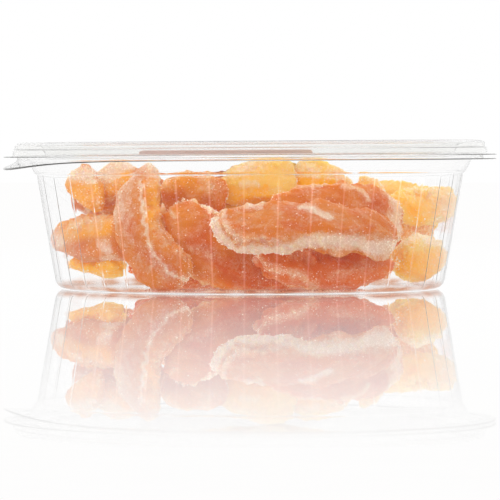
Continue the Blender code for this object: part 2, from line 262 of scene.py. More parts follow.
# ---- Shader tools -----------------------------------------------------------------
class NodeBench:
    """Adds nodes to one tree and links them by name."""

    def __init__(self, tree: bpy.types.NodeTree) -> None:
        """Keeps the tree.

        Args:
            tree: a material's, world's or group's node tree.
        """
        self.tree = tree

    def add(self, kind: str, settings: dict | None = None, **links) -> bpy.types.Node:
        """Adds a node, sets it up and feeds its inputs.

        Args:
            kind: the node's type name.
            settings: the node's own properties.
            links: input name, with _ for a space or _N for input number N, and
                the value or the output socket that feeds it.

        Returns:
            The new node.
        """
        node = self.tree.nodes.new(kind)
        for key, value in (settings or {}).items():
            setattr(node, key, value)
        for key, value in links.items():
            numbered = key[1:].isdigit()
            socket = node.inputs[int(key[1:]) if numbered else key.replace("_", " ")]
            if isinstance(value, bpy.types.NodeSocket):
                self.link(value, socket)
            elif isinstance(value, tuple) and len(value) == 3 and socket.type == "RGBA":
                socket.default_value = (*value, 1.0)
            else:
                socket.default_value = value
        return node

    def link(self, source: bpy.types.NodeSocket, target: bpy.types.NodeSocket) -> None:
        """Feeds an input from an output."""
        self.tree.links.new(source, target)

    def math(self, operation: str, first: Feed, second: Feed = 0.0,
             third: Feed = 0.0) -> bpy.types.NodeSocket:
        """The output of a Math node."""
        node = self.add("ShaderNodeMath", {"operation": operation}, _0=first, _1=second,
                        _2=third)
        return node.outputs[0]

    def mix(self, share: Feed, first: Feed, second: Feed) -> bpy.types.NodeSocket:
        """The output of a colour Mix node."""
        node = self.add("ShaderNodeMix", {"data_type": "RGBA"}, _0=share, _6=first, _7=second)
        return node.outputs[2]

    def ramp(self, value: Feed, low: float, high: float, start: float = 0.0,
             end: float = 1.0) -> bpy.types.NodeSocket:
        """The output of a smooth Map Range node."""
        node = self.add("ShaderNodeMapRange", {"interpolation_type": "SMOOTHSTEP"},
                        _0=value, _1=low, _2=high, _3=start, _4=end)
        return node.outputs[0]

    def noise(self, vector: Feed, scale: float, detail: float = 3.0,
              rough: float = 0.5) -> bpy.types.NodeSocket:
        """The value of a Noise Texture."""
        node = self.add("ShaderNodeTexNoise", None, Vector=vector, Scale=scale,
                        Detail=detail, Roughness=rough)
        return node.outputs["Fac"]

    def product(self, first: Feed, second: Feed) -> bpy.types.NodeSocket:
        """The output of a Math node that multiplies."""
        return self.math("MULTIPLY", first, second)

    def value_of(self, layer: str) -> bpy.types.NodeSocket:
        """The value of a mesh attribute."""
        return self.add("ShaderNodeAttribute", {"attribute_name": layer}).outputs["Fac"]


def new_group(name: str, inputs: dict[str, float | tuple | str], outputs: dict[str, str]
              ) -> tuple[bpy.types.NodeTree, NodeBench, bpy.types.Node, bpy.types.Node]:
    """Starts a shader node group.

    Args:
        name: the group's name.
        inputs: default value of each input, by name; "vector" stands for a vector.
        outputs: kind of each output, by name.

    Returns:
        The tree, its bench, its input node and its output node.
    """
    tree = bpy.data.node_groups.new(name, "ShaderNodeTree")
    for label, value in inputs.items():
        kinds = {float: "NodeSocketFloat", tuple: "NodeSocketColor", str: "NodeSocketVector"}
        socket = tree.interface.new_socket(label, in_out="INPUT", socket_type=kinds[type(value)])
        if isinstance(value, tuple):
            socket.default_value = (*value, 1.0)
        elif isinstance(value, float):
            socket.default_value = value
    for label, kind in outputs.items():
        tree.interface.new_socket(label, in_out="OUTPUT", socket_type=kind)
    bench = NodeBench(tree)
    return tree, bench, tree.nodes.new("NodeGroupInput"), tree.nodes.new("NodeGroupOutput")


class SharedEffects:
    """The node groups that several materials use.

    The capitals are noise scales, in bumps per metre of surface.
    """

    CLOUDS = 420.0
    SPECKS = 1900.0
    GRAINS = 1500.0
    PATCHES = 210.0
    HAZE = 1100.0
    DRIFT = 90.0
    FIBRES = 520.0
    SMEARS = 55.0
    WAVES = 140.0

    def __init__(self) -> None:
        """Builds each group once."""
        self.frost = self.build_frost()
        self.flesh = self.build_flesh()
        self.wear = self.build_wear()

    def build_frost(self) -> bpy.types.NodeTree:
        """Sugar frosting: crust where asked, broken up, with grains that stand out.

        Frost is the crust value raised or lowered by cloudy noise and smooth
        stepped; Veil is fine noise in cloudy patches; Grain is a field of small
        cells and whiter mottling on the frost; Height adds them.

        Returns:
            The group's tree.
        """
        tree, bench, source, sink = new_group(
            "sugar_frost", {"Vector": "vector", "Crust": 0.0, "Dust": 0.2},
            {"Frost": "NodeSocketFloat", "Veil": "NodeSocketFloat", "Grain": "NodeSocketFloat",
             "Height": "NodeSocketFloat"})
        place, crust, dust = source.outputs[:3]
        clouds = bench.noise(place, self.CLOUDS, 4.0, 0.6)
        fine = bench.noise(place, self.SPECKS, 3.0, 0.65)
        broken = bench.math("ADD", bench.product(clouds, 0.8), bench.product(fine, 0.8))
        level = bench.math("ADD", crust, bench.math("SUBTRACT", broken, 0.8))
        frost = bench.ramp(level, 0.02, 0.9)
        cells = bench.add("ShaderNodeTexVoronoi", None, Vector=place, Scale=self.GRAINS)
        near = bench.ramp(cells.outputs["Distance"], 0.34, 0.12)
        picked = bench.add("ShaderNodeSeparateColor", None, Color=cells.outputs["Color"])
        wanted = bench.math("MULTIPLY_ADD", crust, 0.55, bench.product(dust, 0.3))
        chosen = bench.math("LESS_THAN", picked.outputs[0], wanted)
        grain = bench.product(near, chosen)
        mottle = bench.ramp(bench.noise(place, self.GRAINS, 2.0, 0.8), 0.46, 0.66)
        white = bench.math("MAXIMUM", bench.product(grain, 0.75),
                           bench.product(mottle, bench.product(frost, 0.7)))
        height = bench.math("ADD", bench.product(fine, bench.math("ADD", frost, 0.25)),
                            bench.product(grain, 0.6))
        patch = bench.ramp(bench.noise(place, self.PATCHES, 4.0, 0.65), 0.38, 0.62)
        haze = bench.ramp(bench.noise(place, self.HAZE, 3.0, 0.75), 0.36, 0.66)
        bench.link(frost, sink.inputs["Frost"])
        bench.link(bench.product(bench.product(haze, patch), dust), sink.inputs["Veil"])
        bench.link(white, sink.inputs["Grain"])
        bench.link(height, sink.inputs["Height"])
        return tree

    def build_flesh(self) -> bpy.types.NodeTree:
        """Candied flesh: a face colour that drifts to a deep and to a bright one.

        Broad and fine noise sway Depth and Glow, whose smooth steps are the
        shares of the deep and the bright colour.

        Returns:
            The group's tree.
        """
        tree, bench, source, sink = new_group(
            "candied_flesh",
            {"Vector": "vector", "Face": (0.7, 0.3, 0.1), "Deep": (0.6, 0.15, 0.05),
             "Bright": (0.8, 0.4, 0.05), "Depth": 0.0, "Glow": 0.0},
            {"Colour": "NodeSocketColor"})
        place = source.outputs["Vector"]
        drift = bench.noise(place, self.DRIFT, 3.0, 0.55)
        fibre = bench.noise(place, self.FIBRES, 3.0, 0.6)
        sway = bench.math("ADD", bench.product(bench.math("SUBTRACT", drift, 0.5), 1.3),
                          bench.product(bench.math("SUBTRACT", fibre, 0.5), 0.5))
        depth = bench.ramp(bench.math("ADD", source.outputs["Depth"], sway), 0.0, 1.0)
        toned = bench.mix(depth, source.outputs["Face"], source.outputs["Deep"])
        warmed = bench.math("ADD", source.outputs["Glow"], bench.product(sway, 0.5))
        glow = bench.ramp(warmed, 0.1, 0.9)
        lit = bench.mix(glow, toned, source.outputs["Bright"])
        bench.link(lit, sink.inputs["Colour"])
        return tree

    def build_wear(self) -> bpy.types.NodeTree:
        """Handling marks on formed sheet: Roughness rises in smears, Height waves.

        Returns:
            The group's tree.
        """
        tree, bench, source, sink = new_group(
            "sheet_wear", {"Vector": "vector", "Clean": 0.03, "Smeared": 0.1},
            {"Roughness": "NodeSocketFloat", "Height": "NodeSocketFloat"})
        place = source.outputs["Vector"]
        smear = bench.ramp(bench.noise(place, self.SMEARS, 4.0, 0.6), 0.48, 0.75)
        low, high = source.outputs["Clean"], source.outputs["Smeared"]
        span = bench.math("SUBTRACT", high, low)
        bench.link(bench.math("MULTIPLY_ADD", smear, span, low), sink.inputs["Roughness"])
        bench.link(bench.noise(place, self.WAVES, 2.0), sink.inputs["Height"])
        return tree


def new_material(
        name: str) -> tuple[bpy.types.Material, NodeBench, bpy.types.Node, bpy.types.Node]:
    """Starts a material.

    Args:
        name: the material's name.

    Returns:
        The material, a bench on its tree, its Principled node and its output node.
    """
    made = bpy.data.materials.new(name)
    made.use_nodes = True
    tree = made.node_tree
    return made, NodeBench(tree), tree.nodes["Principled BSDF"], tree.nodes["Material Output"]


def grouped(bench: NodeBench, tree: bpy.types.NodeTree, **links) -> bpy.types.Node:
    """Places a shared effect in a material."""
    return bench.add("ShaderNodeGroup", {"node_tree": tree}, **links)


# ---- Finishes ---------------------------------------------------------------------
@dataclass(frozen=True)
class SheetFinish:
    """Clear, glossy formed sheet; formed means that it has crest and foot layers, which carry a
    painted glint on the ribs and edge and a painted reflection of the fruit at the foot.
    """

    name: str
    tint: Colour
    clean: float = 0.02        # roughness between smears
    smeared: float = 0.07      # roughness in a smear
    clearness: float = 1.0
    index: float = 1.3
    gloss: float = 0.15
    waviness: float = 0.01
    shadow: Colour = (0.97, 0.97, 0.97)
    # colour of the painted glint on the rib crests and the cut edge
    glint: Colour = (0.18, 0.17, 0.16)
    # painted reflection: the fruit's colour seen in the tub's base, laid on the foot as base
    # colour and glow
    foot_reflection_tint: Colour = paint(206, 142, 96)
    foot_reflection_glow: Colour = (0.03, 0.012, 0.006)
    glow: float = 0.0
    formed: bool = False

    def material(self, effects: SharedEffects) -> bpy.types.Material:
        """Glass that lets lamps through to what is inside.

        Args:
            effects: the shared node groups.

        Returns:
            The material.
        """
        made, bench, shader, output = new_material(self.name)
        place = bench.add("ShaderNodeTexCoord").outputs["Object"]
        wear = grouped(bench, effects.wear, Vector=place, Clean=self.clean,
                       Smeared=self.smeared)
        bump = bench.add("ShaderNodeBump", None, Strength=self.waviness, Distance=0.001,
                         Height=wear.outputs["Height"])
        shader.inputs["Base Color"].default_value = (*self.tint, 1.0)
        shader.inputs["Transmission Weight"].default_value = self.clearness
        shader.inputs["IOR"].default_value = self.index
        shader.inputs["Specular IOR Level"].default_value = self.gloss
        bench.link(wear.outputs["Roughness"], shader.inputs["Roughness"])
        bench.link(bump.outputs[0], shader.inputs["Normal"])
        shader.inputs["Emission Strength"].default_value = self.glow
        if self.formed:
            self.light_ribs(bench, place, shader)
        clear = bench.add("ShaderNodeBsdfTransparent", None, Color=self.shadow)
        rays = bench.add("ShaderNodeLightPath")
        both = bench.add("ShaderNodeMixShader", None, _0=rays.outputs["Is Shadow Ray"],
                         _1=shader.outputs[0], _2=clear.outputs[0])
        bench.link(both.outputs[0], output.inputs["Surface"])
        return made

    def light_ribs(self, bench: NodeBench, place: bpy.types.NodeSocket,
                   shader: bpy.types.Node) -> None:
        """Paints glints on the ribs and the cut edge in patches, and paints the fruit's
        reflection on the foot.

        The glint is the square of the crest layer times cloudy noise.

        Args:
            bench: the material's bench.
            place: the object coordinates.
            shader: the material's Principled node.
        """
        patchy = bench.ramp(bench.noise(place, 70.0, 2.0), 0.25, 0.7, 0.35, 1.0)
        # painted glint: emission on the rib crests and the flange's cut edge, in patches
        glint_share = bench.product(bench.math("POWER", bench.value_of("crest"), 2.0), patchy)
        glint = bench.mix(glint_share, (0.0, 0.0, 0.0), self.glint)
        # foot layer: where the painted reflection of the fruit lies on the base
        foot = bench.value_of("foot")
        bench.link(bench.mix(foot, glint, self.foot_reflection_glow), shader.inputs["Emission Color"])
        bench.link(bench.mix(foot, self.tint, self.foot_reflection_tint), shader.inputs["Base Color"])
        shader.inputs["Emission Strength"].default_value = 1.0


@dataclass(frozen=True)
class FleshFinish:
    """One shade of candied melon."""

    name: str
    face: Colour
    deep: Colour
    bright: Colour
    crust: Colour
    dust: float = 0.36
    grain: Colour = paint(244, 230, 216)
    depth_of_light: float = 0.008
    light_spread: Triple = (1.0, 0.55, 0.22)
    inner_glow: float = 0.2

    def material(self, effects: SharedEffects) -> bpy.types.Material:
        """Translucent flesh under sugar that whitens and roughens it.

        Args:
            effects: the shared node groups.

        Returns:
            The material.
        """
        made, bench, shader, _ = new_material(self.name)
        place = bench.add("ShaderNodeTexCoord").outputs["Object"]
        frost = grouped(bench, effects.frost, Vector=place, Dust=self.dust,
                        Crust=bench.value_of("crust"))
        flesh = grouped(bench, effects.flesh, Vector=place, Face=self.face, Deep=self.deep,
                        Bright=self.bright, Depth=bench.value_of("depth"),
                        Glow=bench.value_of("glow"))
        sugared = bench.mix(frost.outputs["Frost"], flesh.outputs["Colour"], self.crust)
        veiled = bench.mix(frost.outputs["Veil"], sugared, self.crust)
        whitened = bench.mix(frost.outputs["Grain"], veiled, self.grain)
        rough = bench.ramp(frost.outputs["Frost"], 0.0, 1.0, 0.34, 0.72)
        bump = bench.add("ShaderNodeBump", None, Strength=0.5, Distance=0.0004,
                         Height=frost.outputs["Height"])
        bench.link(whitened, shader.inputs["Base Color"])
        bench.link(rough, shader.inputs["Roughness"])
        bench.link(bump.outputs[0], shader.inputs["Normal"])
        shader.inputs["Subsurface Weight"].default_value = 0.9
        shader.inputs["Subsurface Radius"].default_value = self.light_spread
        shader.inputs["Subsurface Scale"].default_value = self.depth_of_light
        bench.link(flesh.outputs["Colour"], shader.inputs["Emission Color"])
        shader.inputs["Emission Strength"].default_value = self.inner_glow
        shader.inputs["Specular IOR Level"].default_value = 0.2
        return made


class Tone(Enum):
    """The four shades of slice, by material slot."""

    PALE = "melon_pale"
    ORANGE = "melon_orange"
    YELLOW = "melon_yellow"
    DEEP = "melon_deep"

    def finish(self) -> FleshFinish:
        """The finish of this shade."""
        return FLESH_FINISHES[self]


FLESH_FINISHES = {
    Tone.PALE: FleshFinish("pale_melon_flesh", paint(203, 112, 12), paint(196, 86, 10),
                           paint(228, 152, 24), paint(220, 200, 178)),
    Tone.ORANGE: FleshFinish("orange_melon_flesh", paint(206, 112, 10), paint(196, 82, 6),
                             paint(232, 158, 26), paint(224, 194, 162)),
    Tone.YELLOW: FleshFinish("yellow_melon_flesh", paint(234, 189, 92), paint(229, 157, 36),
                             paint(238, 167, 4), paint(230, 206, 176)),
    Tone.DEEP: FleshFinish("deep_melon_flesh", paint(206, 96, 10), paint(198, 78, 4),
                           paint(226, 134, 16), paint(218, 180, 146)),
}


# ---- Formed sheets ----------------------------------------------------------------
@dataclass
class TubRim:
    """What tub, lid and label share: the lean of the rim and the lid's panel."""

    lean: float = 0.0060
    height: float = 41.2
    panel_radius: float = 66.0
    panel_height: float = 43.5
    panel_sag: float = 0.25

    def panel(self, reach: np.ndarray) -> np.ndarray:
        """The panel's height: its edge's height less the sag times 1 - (r/R)^2."""
        return (self.panel_height - self.panel_sag
                + self.panel_sag * (reach / self.panel_radius) ** 2)

    def lifted(self, points: np.ndarray) -> np.ndarray:
        """Points with the +X side raised in proportion to height."""
        raised = points.copy()
        raised[..., 2] += self.lean * points[..., 0] * points[..., 2] / self.height
        return raised


def rounded_path(corners: tuple, radius: float, steps: int = 5) -> np.ndarray:
    """A path whose inner corners are eased by short quadratic curves.

    Each corner gives way to a Bezier curve from a point before it to one after
    it, at most a radius and at most 0.45 of a leg away.

    Args:
        corners: (r, z) corners, in millimetres.
        radius: how far from a corner its curve starts.
        steps: points on each curve.

    Returns:
        The path's points, as an array of n x 2.
    """
    spots = np.array(corners, dtype=float)
    legs = np.diff(spots, axis=0)
    length = np.linalg.norm(legs, axis=1)
    lead = legs / length[:, None]
    back = np.minimum(radius, 0.45 * length[:-1])[:, None, None]
    ahead = np.minimum(radius, 0.45 * length[1:])[:, None, None]
    t = np.linspace(0.0, 1.0, steps)[None, :, None]
    middle = spots[1:-1, None, :]
    start = middle - back * lead[:-1, None, :]
    end = middle + ahead * lead[1:, None, :]
    curves = (1 - t) ** 2 * start + 2 * t * (1 - t) * middle + t ** 2 * end
    return np.vstack((spots[:1], curves.reshape(-1, 2), spots[-1:]))


def filled_path(path: np.ndarray, longest: float) -> np.ndarray:
    """The same path with points added so that no step is longer than asked.

    Args:
        path: (r, z) points, in millimetres.
        longest: the longest step.

    Returns:
        The path's points, old and new.
    """
    length = np.linalg.norm(np.diff(path, axis=0), axis=1)
    parts = np.maximum(1, np.ceil(length / longest)).astype(int)
    index = np.repeat(np.arange(len(parts)), parts)
    within = np.concatenate([np.arange(n) / n for n in parts])
    inner = path[index] + (path[index + 1] - path[index]) * within[:, None]
    return np.vstack((inner, path[-1:]))


def turned(path: np.ndarray, angles: np.ndarray) -> np.ndarray:
    """A path of (r, z) carried round Z: x = r cos a, y = r sin a.

    Args:
        path: the path's points.
        angles: the angles, in radians.

    Returns:
        Points x angles x 3.
    """
    radius, height = path[:, 0][:, None], path[:, 1][:, None]
    return np.stack((radius * np.cos(angles), radius * np.sin(angles),
                     np.broadcast_to(height, (len(path), len(angles)))), -1)


def thickened(name: str, outer: np.ndarray, wall: float) -> GridSurface:
    """A closed sheet: an outer grid, and the same grid moved inward by the wall.

    The outer grid runs from the axis to the flange's edge. The inner side comes
    back from the edge to the axis, and a pole closes each end.

    Args:
        name: the piece's name.
        outer: rows x columns x 3, the first row close to the axis.
        wall: the sheet's thickness.

    Returns:
        The surface.
    """
    inner = outer - wall * grid_normals(outer)
    poles = np.stack((outer[0].mean(0), inner[0].mean(0)))
    return GridSurface(name, np.concatenate((outer, inner[::-1])), poles)


@dataclass
class Tub:
    """The ribbed tub."""

    rim: TubRim
    finish: SheetFinish
    sheet: float = 0.3
    base_radius: float = 59.3
    foot: tuple[float, float] = (62.75, 0.0)
    wall_top: tuple[float, float] = (69.2, 37.1)
    collar: tuple[float, float] = (69.9, 37.5)
    collar_top: tuple[float, float] = (71.9, 41.2)
    bead: tuple[float, float] = (72.6, 75.3)
    bead_height: float = 43.0
    flange_radius: float = 80.0
    flange_height: float = 41.5
    ribs: int = 40
    rib_height: float = 0.07
    rib_reach: float = math.radians(0.52)
    rib_phase: float = math.radians(-1.6)
    tab_azimuth: float = math.radians(192.0)
    tab_spread: float = math.radians(26.0)
    tab_drop: float = 2.7
    rib_columns: tuple[float, ...] = (-4.5, -3.0, -1.8, -1.0, -0.52, -0.32, -0.15, 0.0,
                                      0.15, 0.32, 0.52, 1.0, 1.8, 3.0)
    rib_foot: tuple[float, float] = (0.3, 2.2)
    rib_top: tuple[float, float] = (35.2, 36.6)
    # edge_glint and edge_band: a painted glint along the flange's cut edge, carried in the crest
    # layer
    edge_glint: float = 1.2
    edge_band: tuple[float, float] = (78.8, 79.8)
    # foot_top and foot_band: where the painted reflection of the fruit lies on the base
    foot_top: tuple[float, float] = (0.9, 2.4)
    foot_band: tuple[float, float] = (56.0, 60.0)

    def profile(self) -> np.ndarray:
        """The outer side's path, with short steps where it bends.

        Returns:
            (r, z) from near the axis to the flange's edge.
        """
        base = rounded_path(((0.5, 0.0), self.foot, self.wall_top), 3.4, 9)
        rim = rounded_path((self.wall_top, self.collar, self.collar_top,
                            (self.bead[0], self.bead_height), (self.bead[1], self.bead_height),
                            (self.bead[1] + 0.3, self.flange_height),
                            (self.flange_radius, self.flange_height)), 0.7, 5)
        return np.vstack((filled_path(base[:2], 6.0)[:-1], filled_path(base[1:], 1.6)[:-1],
                          filled_path(rim, 1.2)))

    def angles(self) -> np.ndarray:
        """Column angles: close together on each rib, wide apart between ribs."""
        pitch = 2.0 * math.pi / self.ribs
        offsets = np.radians(np.array(self.rib_columns))
        return (np.arange(self.ribs)[:, None] * pitch + offsets + self.rib_phase).ravel()

    def crest(self, points: np.ndarray) -> np.ndarray:
        """Rib height from 0 to 1: a cosine-squared crest on the wall and its fillet.

        Args:
            points: the turned outer side.

        Returns:
            Rows x columns.
        """
        radius = np.hypot(points[..., 0], points[..., 1])
        angle = np.arctan2(points[..., 1], points[..., 0]) - self.rib_phase
        pitch = 2.0 * math.pi / self.ribs
        off = (angle + pitch / 2.0) % pitch - pitch / 2.0
        crest = np.cos(0.5 * math.pi * np.clip(off / self.rib_reach, -1.0, 1.0)) ** 2
        height = points[..., 2]
        span = ease(*self.rib_foot, height) * (1.0 - ease(*self.rib_top, height))
        return crest * span * (radius > self.base_radius)

    def ribbed(self, points: np.ndarray) -> np.ndarray:
        """The outer side moved outward by the rib height times the crest.

        Args:
            points: the turned outer side.

        Returns:
            The moved points.
        """
        radius = np.hypot(points[..., 0], points[..., 1])
        lift = 1.0 + self.rib_height * self.crest(points) / np.maximum(radius, 1.0)
        moved = points.copy()
        moved[..., :2] *= lift[..., None]
        return moved

    def tabbed(self, points: np.ndarray) -> np.ndarray:
        """Bends the flange's edge down at the lift tab, by a bell curve.

        The drop is the share of the way from bead to edge times
        exp(-(angle from the tab / spread)^2).

        Args:
            points: the outer side.

        Returns:
            The bent points.
        """
        radius = np.hypot(points[..., 0], points[..., 1])
        angle = np.arctan2(points[..., 1], points[..., 0])
        off = (angle - self.tab_azimuth + math.pi) % (2.0 * math.pi) - math.pi
        hang = np.clip((radius - self.bead[1]) / (self.flange_radius - self.bead[1]), 0.0, 1.0)
        hang = hang * (points[..., 2] < self.flange_height + 1.0)
        bent = points.copy()
        bent[..., 2] -= self.tab_drop * hang * np.exp(-(off / self.tab_spread) ** 2)
        return bent

    def layers(self, plain: np.ndarray) -> dict[str, np.ndarray]:
        """The crest layer, the mask of a painted glint on ribs and the flange's edge, and the
        patchy foot layer, the mask of a painted reflection of the fruit in the base.

        Args:
            plain: the turned outer side.

        Returns:
            Values per point of the whole sheet, by layer.
        """
        reach = np.hypot(plain[..., 0], plain[..., 1])
        # crest layer: mask of the painted glint, on the rib crests and the flange's edge
        crest = self.crest(plain) + self.edge_glint * ease(*self.edge_band, reach)
        # foot layer: mask of the painted reflection of the fruit in the base, made patchy
        foot = (1.0 - ease(*self.foot_top, plain[..., 2])) * ease(*self.foot_band, reach)
        foot = foot * (0.62 + 0.3 * Ripple(41).at(plain, 5.0))
        return {"crest": np.concatenate((crest, 0.0 * crest)),
                "foot": np.concatenate((foot, foot[::-1]))}

    def build(self, effects: SharedEffects) -> bpy.types.Object:
        """Makes the tub and puts it in place of its plain solid.

        Args:
            effects: the shared node groups.

        Returns:
            The tub.
        """
        plain = turned(self.profile(), self.angles())
        outer = self.rim.lifted(self.tabbed(self.ribbed(plain)))
        made = thickened("clear_tub", outer, self.sheet).build(self.layers(plain))
        made.data.materials.append(self.finish.material(effects))
        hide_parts("tub")
        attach(made, "root")
        return made


@dataclass
class Lid:
    """The lid: sunken panel, stacking ring, stepped wall and flange."""

    rim: TubRim
    finish: SheetFinish
    sheet: float = 0.3
    top: float = 47.7
    wall_radius: float = 77.0
    step_height: float = 45.4
    flange_radius: float = 80.0
    flange_height: float = 43.2
    columns: int = 288

    def profile(self) -> np.ndarray:
        """The upper side's path over panel, ring, wall and flange.

        Returns:
            (r, z) from near the axis to the flange's edge.
        """
        rim = self.rim
        reach = np.linspace(0.5, rim.panel_radius - 1.5, 26)
        panel = np.stack((reach, rim.panel(reach)), 1)
        ring = rounded_path((
            tuple(panel[-1]),
            (rim.panel_radius, rim.panel_height),
            (rim.panel_radius + 1.7, self.top - 1.0),
            (rim.panel_radius + 4.2, self.top - 0.55),
            (rim.panel_radius + 4.6, self.top),
            (self.wall_radius - 2.2, self.top),
            (self.wall_radius - 0.75, self.top - 0.7),
            (self.wall_radius - 0.6, self.step_height + 0.2),
            (self.wall_radius, self.step_height),
            (self.wall_radius, self.flange_height),
            (self.flange_radius, self.flange_height),
        ), 0.6, 5)
        return np.vstack((panel[:-1], filled_path(ring, 1.2)))

    def build(self, effects: SharedEffects) -> bpy.types.Object:
        """Makes the lid and puts it in place of its plain solid.

        The profile runs from the axis outward on top, so the sheet's second
        side lies below it.

        Args:
            effects: the shared node groups.

        Returns:
            The lid.
        """
        angles = np.linspace(0.0, 2.0 * math.pi, self.columns, endpoint=False)
        outer = self.rim.lifted(turned(self.profile(), angles))[:, ::-1]
        made = thickened("clear_lid", outer, self.sheet).build()
        made.data.materials.append(self.finish.material(effects))
        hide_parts("lid")
        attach(made, "root")
        return made


@dataclass
class Label:
    """The plain label: colour fields above, bare mauve-grey film below."""

    rim: TubRim
    length: float = 56.0
    depth: float = 36.0
    centre: float = -7.8
    thickness: float = 0.25
    clearance: float = 0.08
    front_lift: float = 1.5
    corner_power: float = 12.0
    around: int = 160
    rings: int = 32

    def material(self) -> bpy.types.Material:
        """Cream field, orange band and thin line on top; mauve-grey below, where a painted glow
        lifts the shaded underside.

        Returns:
            The material.
        """
        made, bench, shader, _ = new_material("plain_label_film")
        place = bench.add("ShaderNodeTexCoord").outputs["Object"]
        parts = bench.add("ShaderNodeSeparateXYZ", None, Vector=place)
        x, y = parts.outputs[0], parts.outputs[1]
        up = bench.add("ShaderNodeSeparateXYZ", None,
                       Vector=bench.add("ShaderNodeNewGeometry").outputs["Normal"]).outputs[2]
        fibre = bench.noise(place, 900.0, 4.0, 0.6)
        cream = bench.mix(fibre, paint(226, 212, 206), paint(216, 202, 196))
        band = bench.math("COMPARE", y, -6.0 * MM, 5.5 * MM)
        line = bench.math("COMPARE", y, 3.5 * MM, 0.6 * MM)
        banded = bench.mix(band, cream, paint(232, 140, 62))
        lined = bench.mix(line, banded, paint(96, 128, 74))
        side = bench.math("COMPARE", x, 12.5 * MM, 4.5 * MM)
        upper = bench.product(side, bench.math("GREATER_THAN", y, 6.5 * MM))
        fielded = bench.mix(upper, lined, paint(216, 206, 190))
        below = bench.mix(fibre, paint(229, 208, 203), paint(237, 218, 211))
        top = bench.math("GREATER_THAN", up, 0.8)
        # painted glow: every side but the top glows in the mauve-grey film colour
        underside_glow = bench.mix(top, below, (0.0, 0.0, 0.0))
        bench.link(bench.mix(top, below, fielded), shader.inputs["Base Color"])
        bench.link(underside_glow, shader.inputs["Emission Color"])
        shader.inputs["Emission Strength"].default_value = 0.2
        rough = bench.ramp(fibre, 0.2, 0.8, 0.38, 0.52)
        bench.link(rough, shader.inputs["Roughness"])
        bump = bench.add("ShaderNodeBump", None, Strength=0.15, Distance=0.0002, Height=fibre)
        bench.link(bump.outputs[0], shader.inputs["Normal"])
        return made

    def build(self) -> bpy.types.Object:
        """Makes the label and puts it in place of its plain solid.

        The outline is a rounded oblong, |u|^12 + |v|^12 = 1, shrunk in rings to
        its middle, once below and once above.  The front edge has lifted, by a
        smooth step over the front quarter to the power 1.5.

        Returns:
            The label.
        """
        angle = np.linspace(0.0, 2.0 * math.pi, self.around, endpoint=False)
        power = 2.0 / self.corner_power
        wide = np.sign(np.cos(angle)) * np.abs(np.cos(angle)) ** power
        deep = np.sign(np.sin(angle)) * np.abs(np.sin(angle)) ** power
        outward = np.linspace(0.04, 1.0, self.rings)
        share = np.concatenate((outward, outward[::-1]))[:, None]
        x = self.centre + share * wide * self.length / 2.0
        y = share * deep * self.depth / 2.0
        seat = self.rim.panel(np.hypot(x, y)) + self.clearance
        under = np.arange(len(share))[:, None] < self.rings
        curl = self.front_lift * ease(0.5, 1.0, -2.0 * y / self.depth) ** 1.5
        z = seat + curl + np.where(under, 0.0, self.thickness)
        grid = self.rim.lifted(np.stack((x, y, z), -1))
        poles = np.stack((grid[0].mean(0), grid[-1].mean(0)))
        made = GridSurface("plain_label", grid, poles, smooth=False).build()
        made.data.materials.append(self.material())
        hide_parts("label")
        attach(made, "root")
        return made


# ---- Melon slices -----------------------------------------------------------------
class Layer(Enum):
    """What a stroke lays on a slice."""

    CRUST = "crust"
    DEEP = "depth"
    BRIGHT = "glow"


@dataclass(frozen=True)
class Stroke:
    """A soft band along a line over x and z, in millimetres."""

    layer: Layer
    line: tuple[tuple[float, float], ...]
    reach: float
    strength: float

    FADE = (0.15, 1.6)         # where it starts and ends to fade, in reaches

    def mask(self, points: np.ndarray) -> np.ndarray:
        """Strength within the reach of the line, easing to 0 past it.

        The distance is the least of those to the line's straight legs.

        Args:
            points: rows x columns x 3.

        Returns:
            Rows x columns.
        """
        flat = points[..., (0, 2)][..., None, :]
        spots = np.array(self.line)
        start, leg = spots[:-1], np.diff(spots, axis=0)
        along = ((flat - start) * leg).sum(-1) / (leg ** 2).sum(-1)
        foot = start + np.clip(along, 0.0, 1.0)[..., None] * leg
        distance = np.linalg.norm(flat - foot, axis=-1).min(-1)
        return self.strength * (1.0 - ease(*self.FADE, distance / self.reach))


def crust_stroke(reach: float, strength: float, *line: float) -> Stroke:
    """A stroke of sugar crust; a stroke's line is x, z, x, z and so on."""
    return Stroke(Layer.CRUST, tuple(zip(line[::2], line[1::2])), reach, strength)


def deep_stroke(reach: float, strength: float, *line: float) -> Stroke:
    """A stroke of the shade's deep colour."""
    return Stroke(Layer.DEEP, tuple(zip(line[::2], line[1::2])), reach, strength)


def bright_stroke(reach: float, strength: float, *line: float) -> Stroke:
    """A stroke of the shade's bright colour."""
    return Stroke(Layer.BRIGHT, tuple(zip(line[::2], line[1::2])), reach, strength)


@dataclass(frozen=True)
class SliceLook:
    """How one slice departs from the usual look of its shade."""

    strokes: tuple[Stroke, ...] = ()
    ragged: float = 0.55       # height of the tears along its rims
    furrow: float = 0.22       # depth of the fibres along its faces
    rim_crust: float = 0.35    # sugar along its rims


